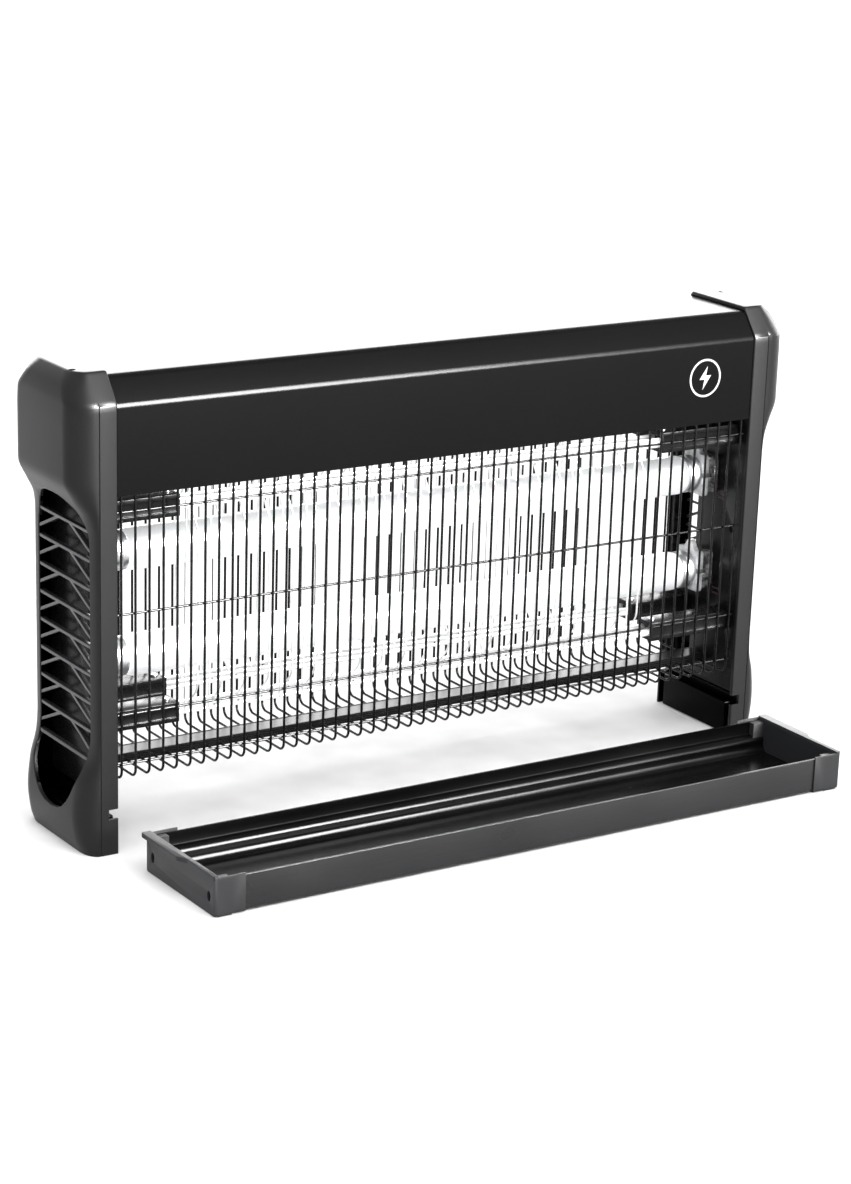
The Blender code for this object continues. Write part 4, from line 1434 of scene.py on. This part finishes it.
def build_stage():
    side = size("floor")
    floor = Shape().box((-side / 2, side / 2), (-side / 2, side / 2), (-12.0, -0.05)).object("studio_floor")
    floor.data.materials.append(finish("studio floor"))
    world = bpy.data.worlds.new("studio")
    world.use_nodes = True
    back = world.node_tree.nodes["Background"]
    back.inputs["Color"].default_value = (1.0, 1.0, 1.0, 1.0)
    back.inputs["Strength"].default_value = WORLD
    bpy.context.scene.world = world
    overhead = bpy.data.lights.new("overhead", "SUN")
    overhead.energy = OVERHEAD
    overhead.angle = math.radians(OVERHEAD_SPREAD)
    lamp = bpy.data.objects.new("overhead", overhead)
    lamp.visible_glossy = False
    bpy.context.scene.collection.objects.link(lamp)
    centre = (0.0, 0.05, 0.15)
    softbox("key_softbox", (0.1, -1.8, 2.2), centre, 1.2, 1.2, 26.0)
    softbox("back_panel", (1.6, 3.2, 1.4), centre, 4.0, 2.2, 200.0, only_gloss=True)
    softbox("fold_strip", (0.95, -2.35, 1.28), (-0.2, 0.02, 0.27), 1.1, 1.7, 1400.0, only_gloss=True)
    softbox("side_panel", (3.0, 0.7, 0.7), centre, 1.6, 1.8, 90.0, only_gloss=True)
    view = bpy.context.scene.view_settings
    view.view_transform = "Standard"
    view.look = "None"


# ---- operators


class ZAPPER_OT_stage(Operator):
    """Build the floor, the soft lights and the camera"""

    bl_idname = "zapper.stage"
    bl_label = "Stage"

    def execute(self, context):
        build_camera()
        build_stage()
        return {"FINISHED"}


class ZAPPER_OT_caps(Operator):
    """Build both end caps: shell, vent ribs, inner plate and foot"""

    bl_idname = "zapper.caps"
    bl_label = "End Caps"

    def execute(self, context):
        build_cap("left", -1)
        build_cap("right", 1)
        return {"FINISHED"}


class ZAPPER_OT_cover(Operator):
    """Build the folded cover, its printed mark and the mains inlet"""

    bl_idname = "zapper.cover"
    bl_label = "Cover"

    def execute(self, context):
        build_cover_shell()
        build_mark()
        build_inlet()
        return {"FINISHED"}


class ZAPPER_OT_electronics(Operator):
    """Finish the deck and the parts that stand on it under the cover"""

    bl_idname = "zapper.electronics"
    bl_label = "Electronics"

    def execute(self, context):
        dress("deck", "deck steel")
        for node in ("ballast_left", "ballast_right"):
            dress(node, "ballast plates")
        for node in ("starter_front", "starter_back"):
            dress(node, "starter can")
        dress("hv_module", "module case")
        dress("terminal_block", "starter can")
        return {"FINISHED"}


class ZAPPER_OT_grilles(Operator):
    """Build the two guard grilles and the rail that they hook on"""

    bl_idname = "zapper.grilles"
    bl_label = "Grilles and Rail"

    def execute(self, context):
        build_grille("front", False)
        build_grille("back", True)
        build_rail()
        return {"FINISHED"}


class ZAPPER_OT_grid(Operator):
    """Build the high-voltage wires, their bars and the insulating arms"""

    bl_idname = "zapper.grid"
    bl_label = "High-Voltage Grid"

    def execute(self, context):
        for label, at_back in (("front", False), ("back", True)):
            for shifted in (False, True):
                build_comb(label, at_back, shifted)
            for height in ("top", "low"):
                for side_label in ("left", "right"):
                    build_arm(height, label, side_label)
        return {"FINISHED"}


class ZAPPER_OT_tubes(Operator):
    """Build both tubes and the four lampholders"""

    bl_idname = "zapper.tubes"
    bl_label = "Tubes and Lampholders"

    def execute(self, context):
        for level in ("upper", "lower"):
            build_tube(level)
            for label in ("left", "right"):
                build_holder(level, label)
        return {"FINISHED"}


class ZAPPER_OT_tray(Operator):
    """Build the catch tray: the channel and its two moulded ends"""

    bl_idname = "zapper.tray"
    bl_label = "Catch Tray"

    def execute(self, context):
        build_channel()
        build_tray_end("left", -1)
        build_tray_end("right", 1)
        return {"FINISHED"}


STEPS = (
    ZAPPER_OT_stage,
    ZAPPER_OT_caps,
    ZAPPER_OT_cover,
    ZAPPER_OT_electronics,
    ZAPPER_OT_grilles,
    ZAPPER_OT_grid,
    ZAPPER_OT_tubes,
    ZAPPER_OT_tray,
)


class VIEW3D_PT_zapper(Panel):
    """Sizes, colours and one button for each group of pieces"""

    bl_label = "Insect Killer"
    bl_idname = "VIEW3D_PT_zapper"
    bl_space_type = "VIEW_3D"
    bl_region_type = "UI"
    bl_category = "Insect Killer"

    def draw(self, context):
        for group in (context.scene.zapper_sizes, context.scene.zapper_colours):
            box = self.layout.box()
            for name in group.__annotations__:
                box.prop(group, name)
        for step in STEPS:
            self.layout.operator(step.bl_idname)


CLASSES = (ZapperSizes, ZapperColours) + STEPS + (VIEW3D_PT_zapper,)


def register():
    for item in CLASSES:
        bpy.utils.register_class(item)
    bpy.types.Scene.zapper_sizes = PointerProperty(type=ZapperSizes)
    bpy.types.Scene.zapper_colours = PointerProperty(type=ZapperColours)


def unregister():
    del bpy.types.Scene.zapper_colours
    del bpy.types.Scene.zapper_sizes
    for item in reversed(CLASSES):
        bpy.utils.unregister_class(item)


def main():
    register()
    bpy.ops.zapper.stage()
    bpy.ops.zapper.caps()
    bpy.ops.zapper.cover()
    bpy.ops.zapper.electronics()
    bpy.ops.zapper.grilles()
    bpy.ops.zapper.grid()
    bpy.ops.zapper.tubes()
    bpy.ops.zapper.tray()


if __name__ == "__main__":
    main()
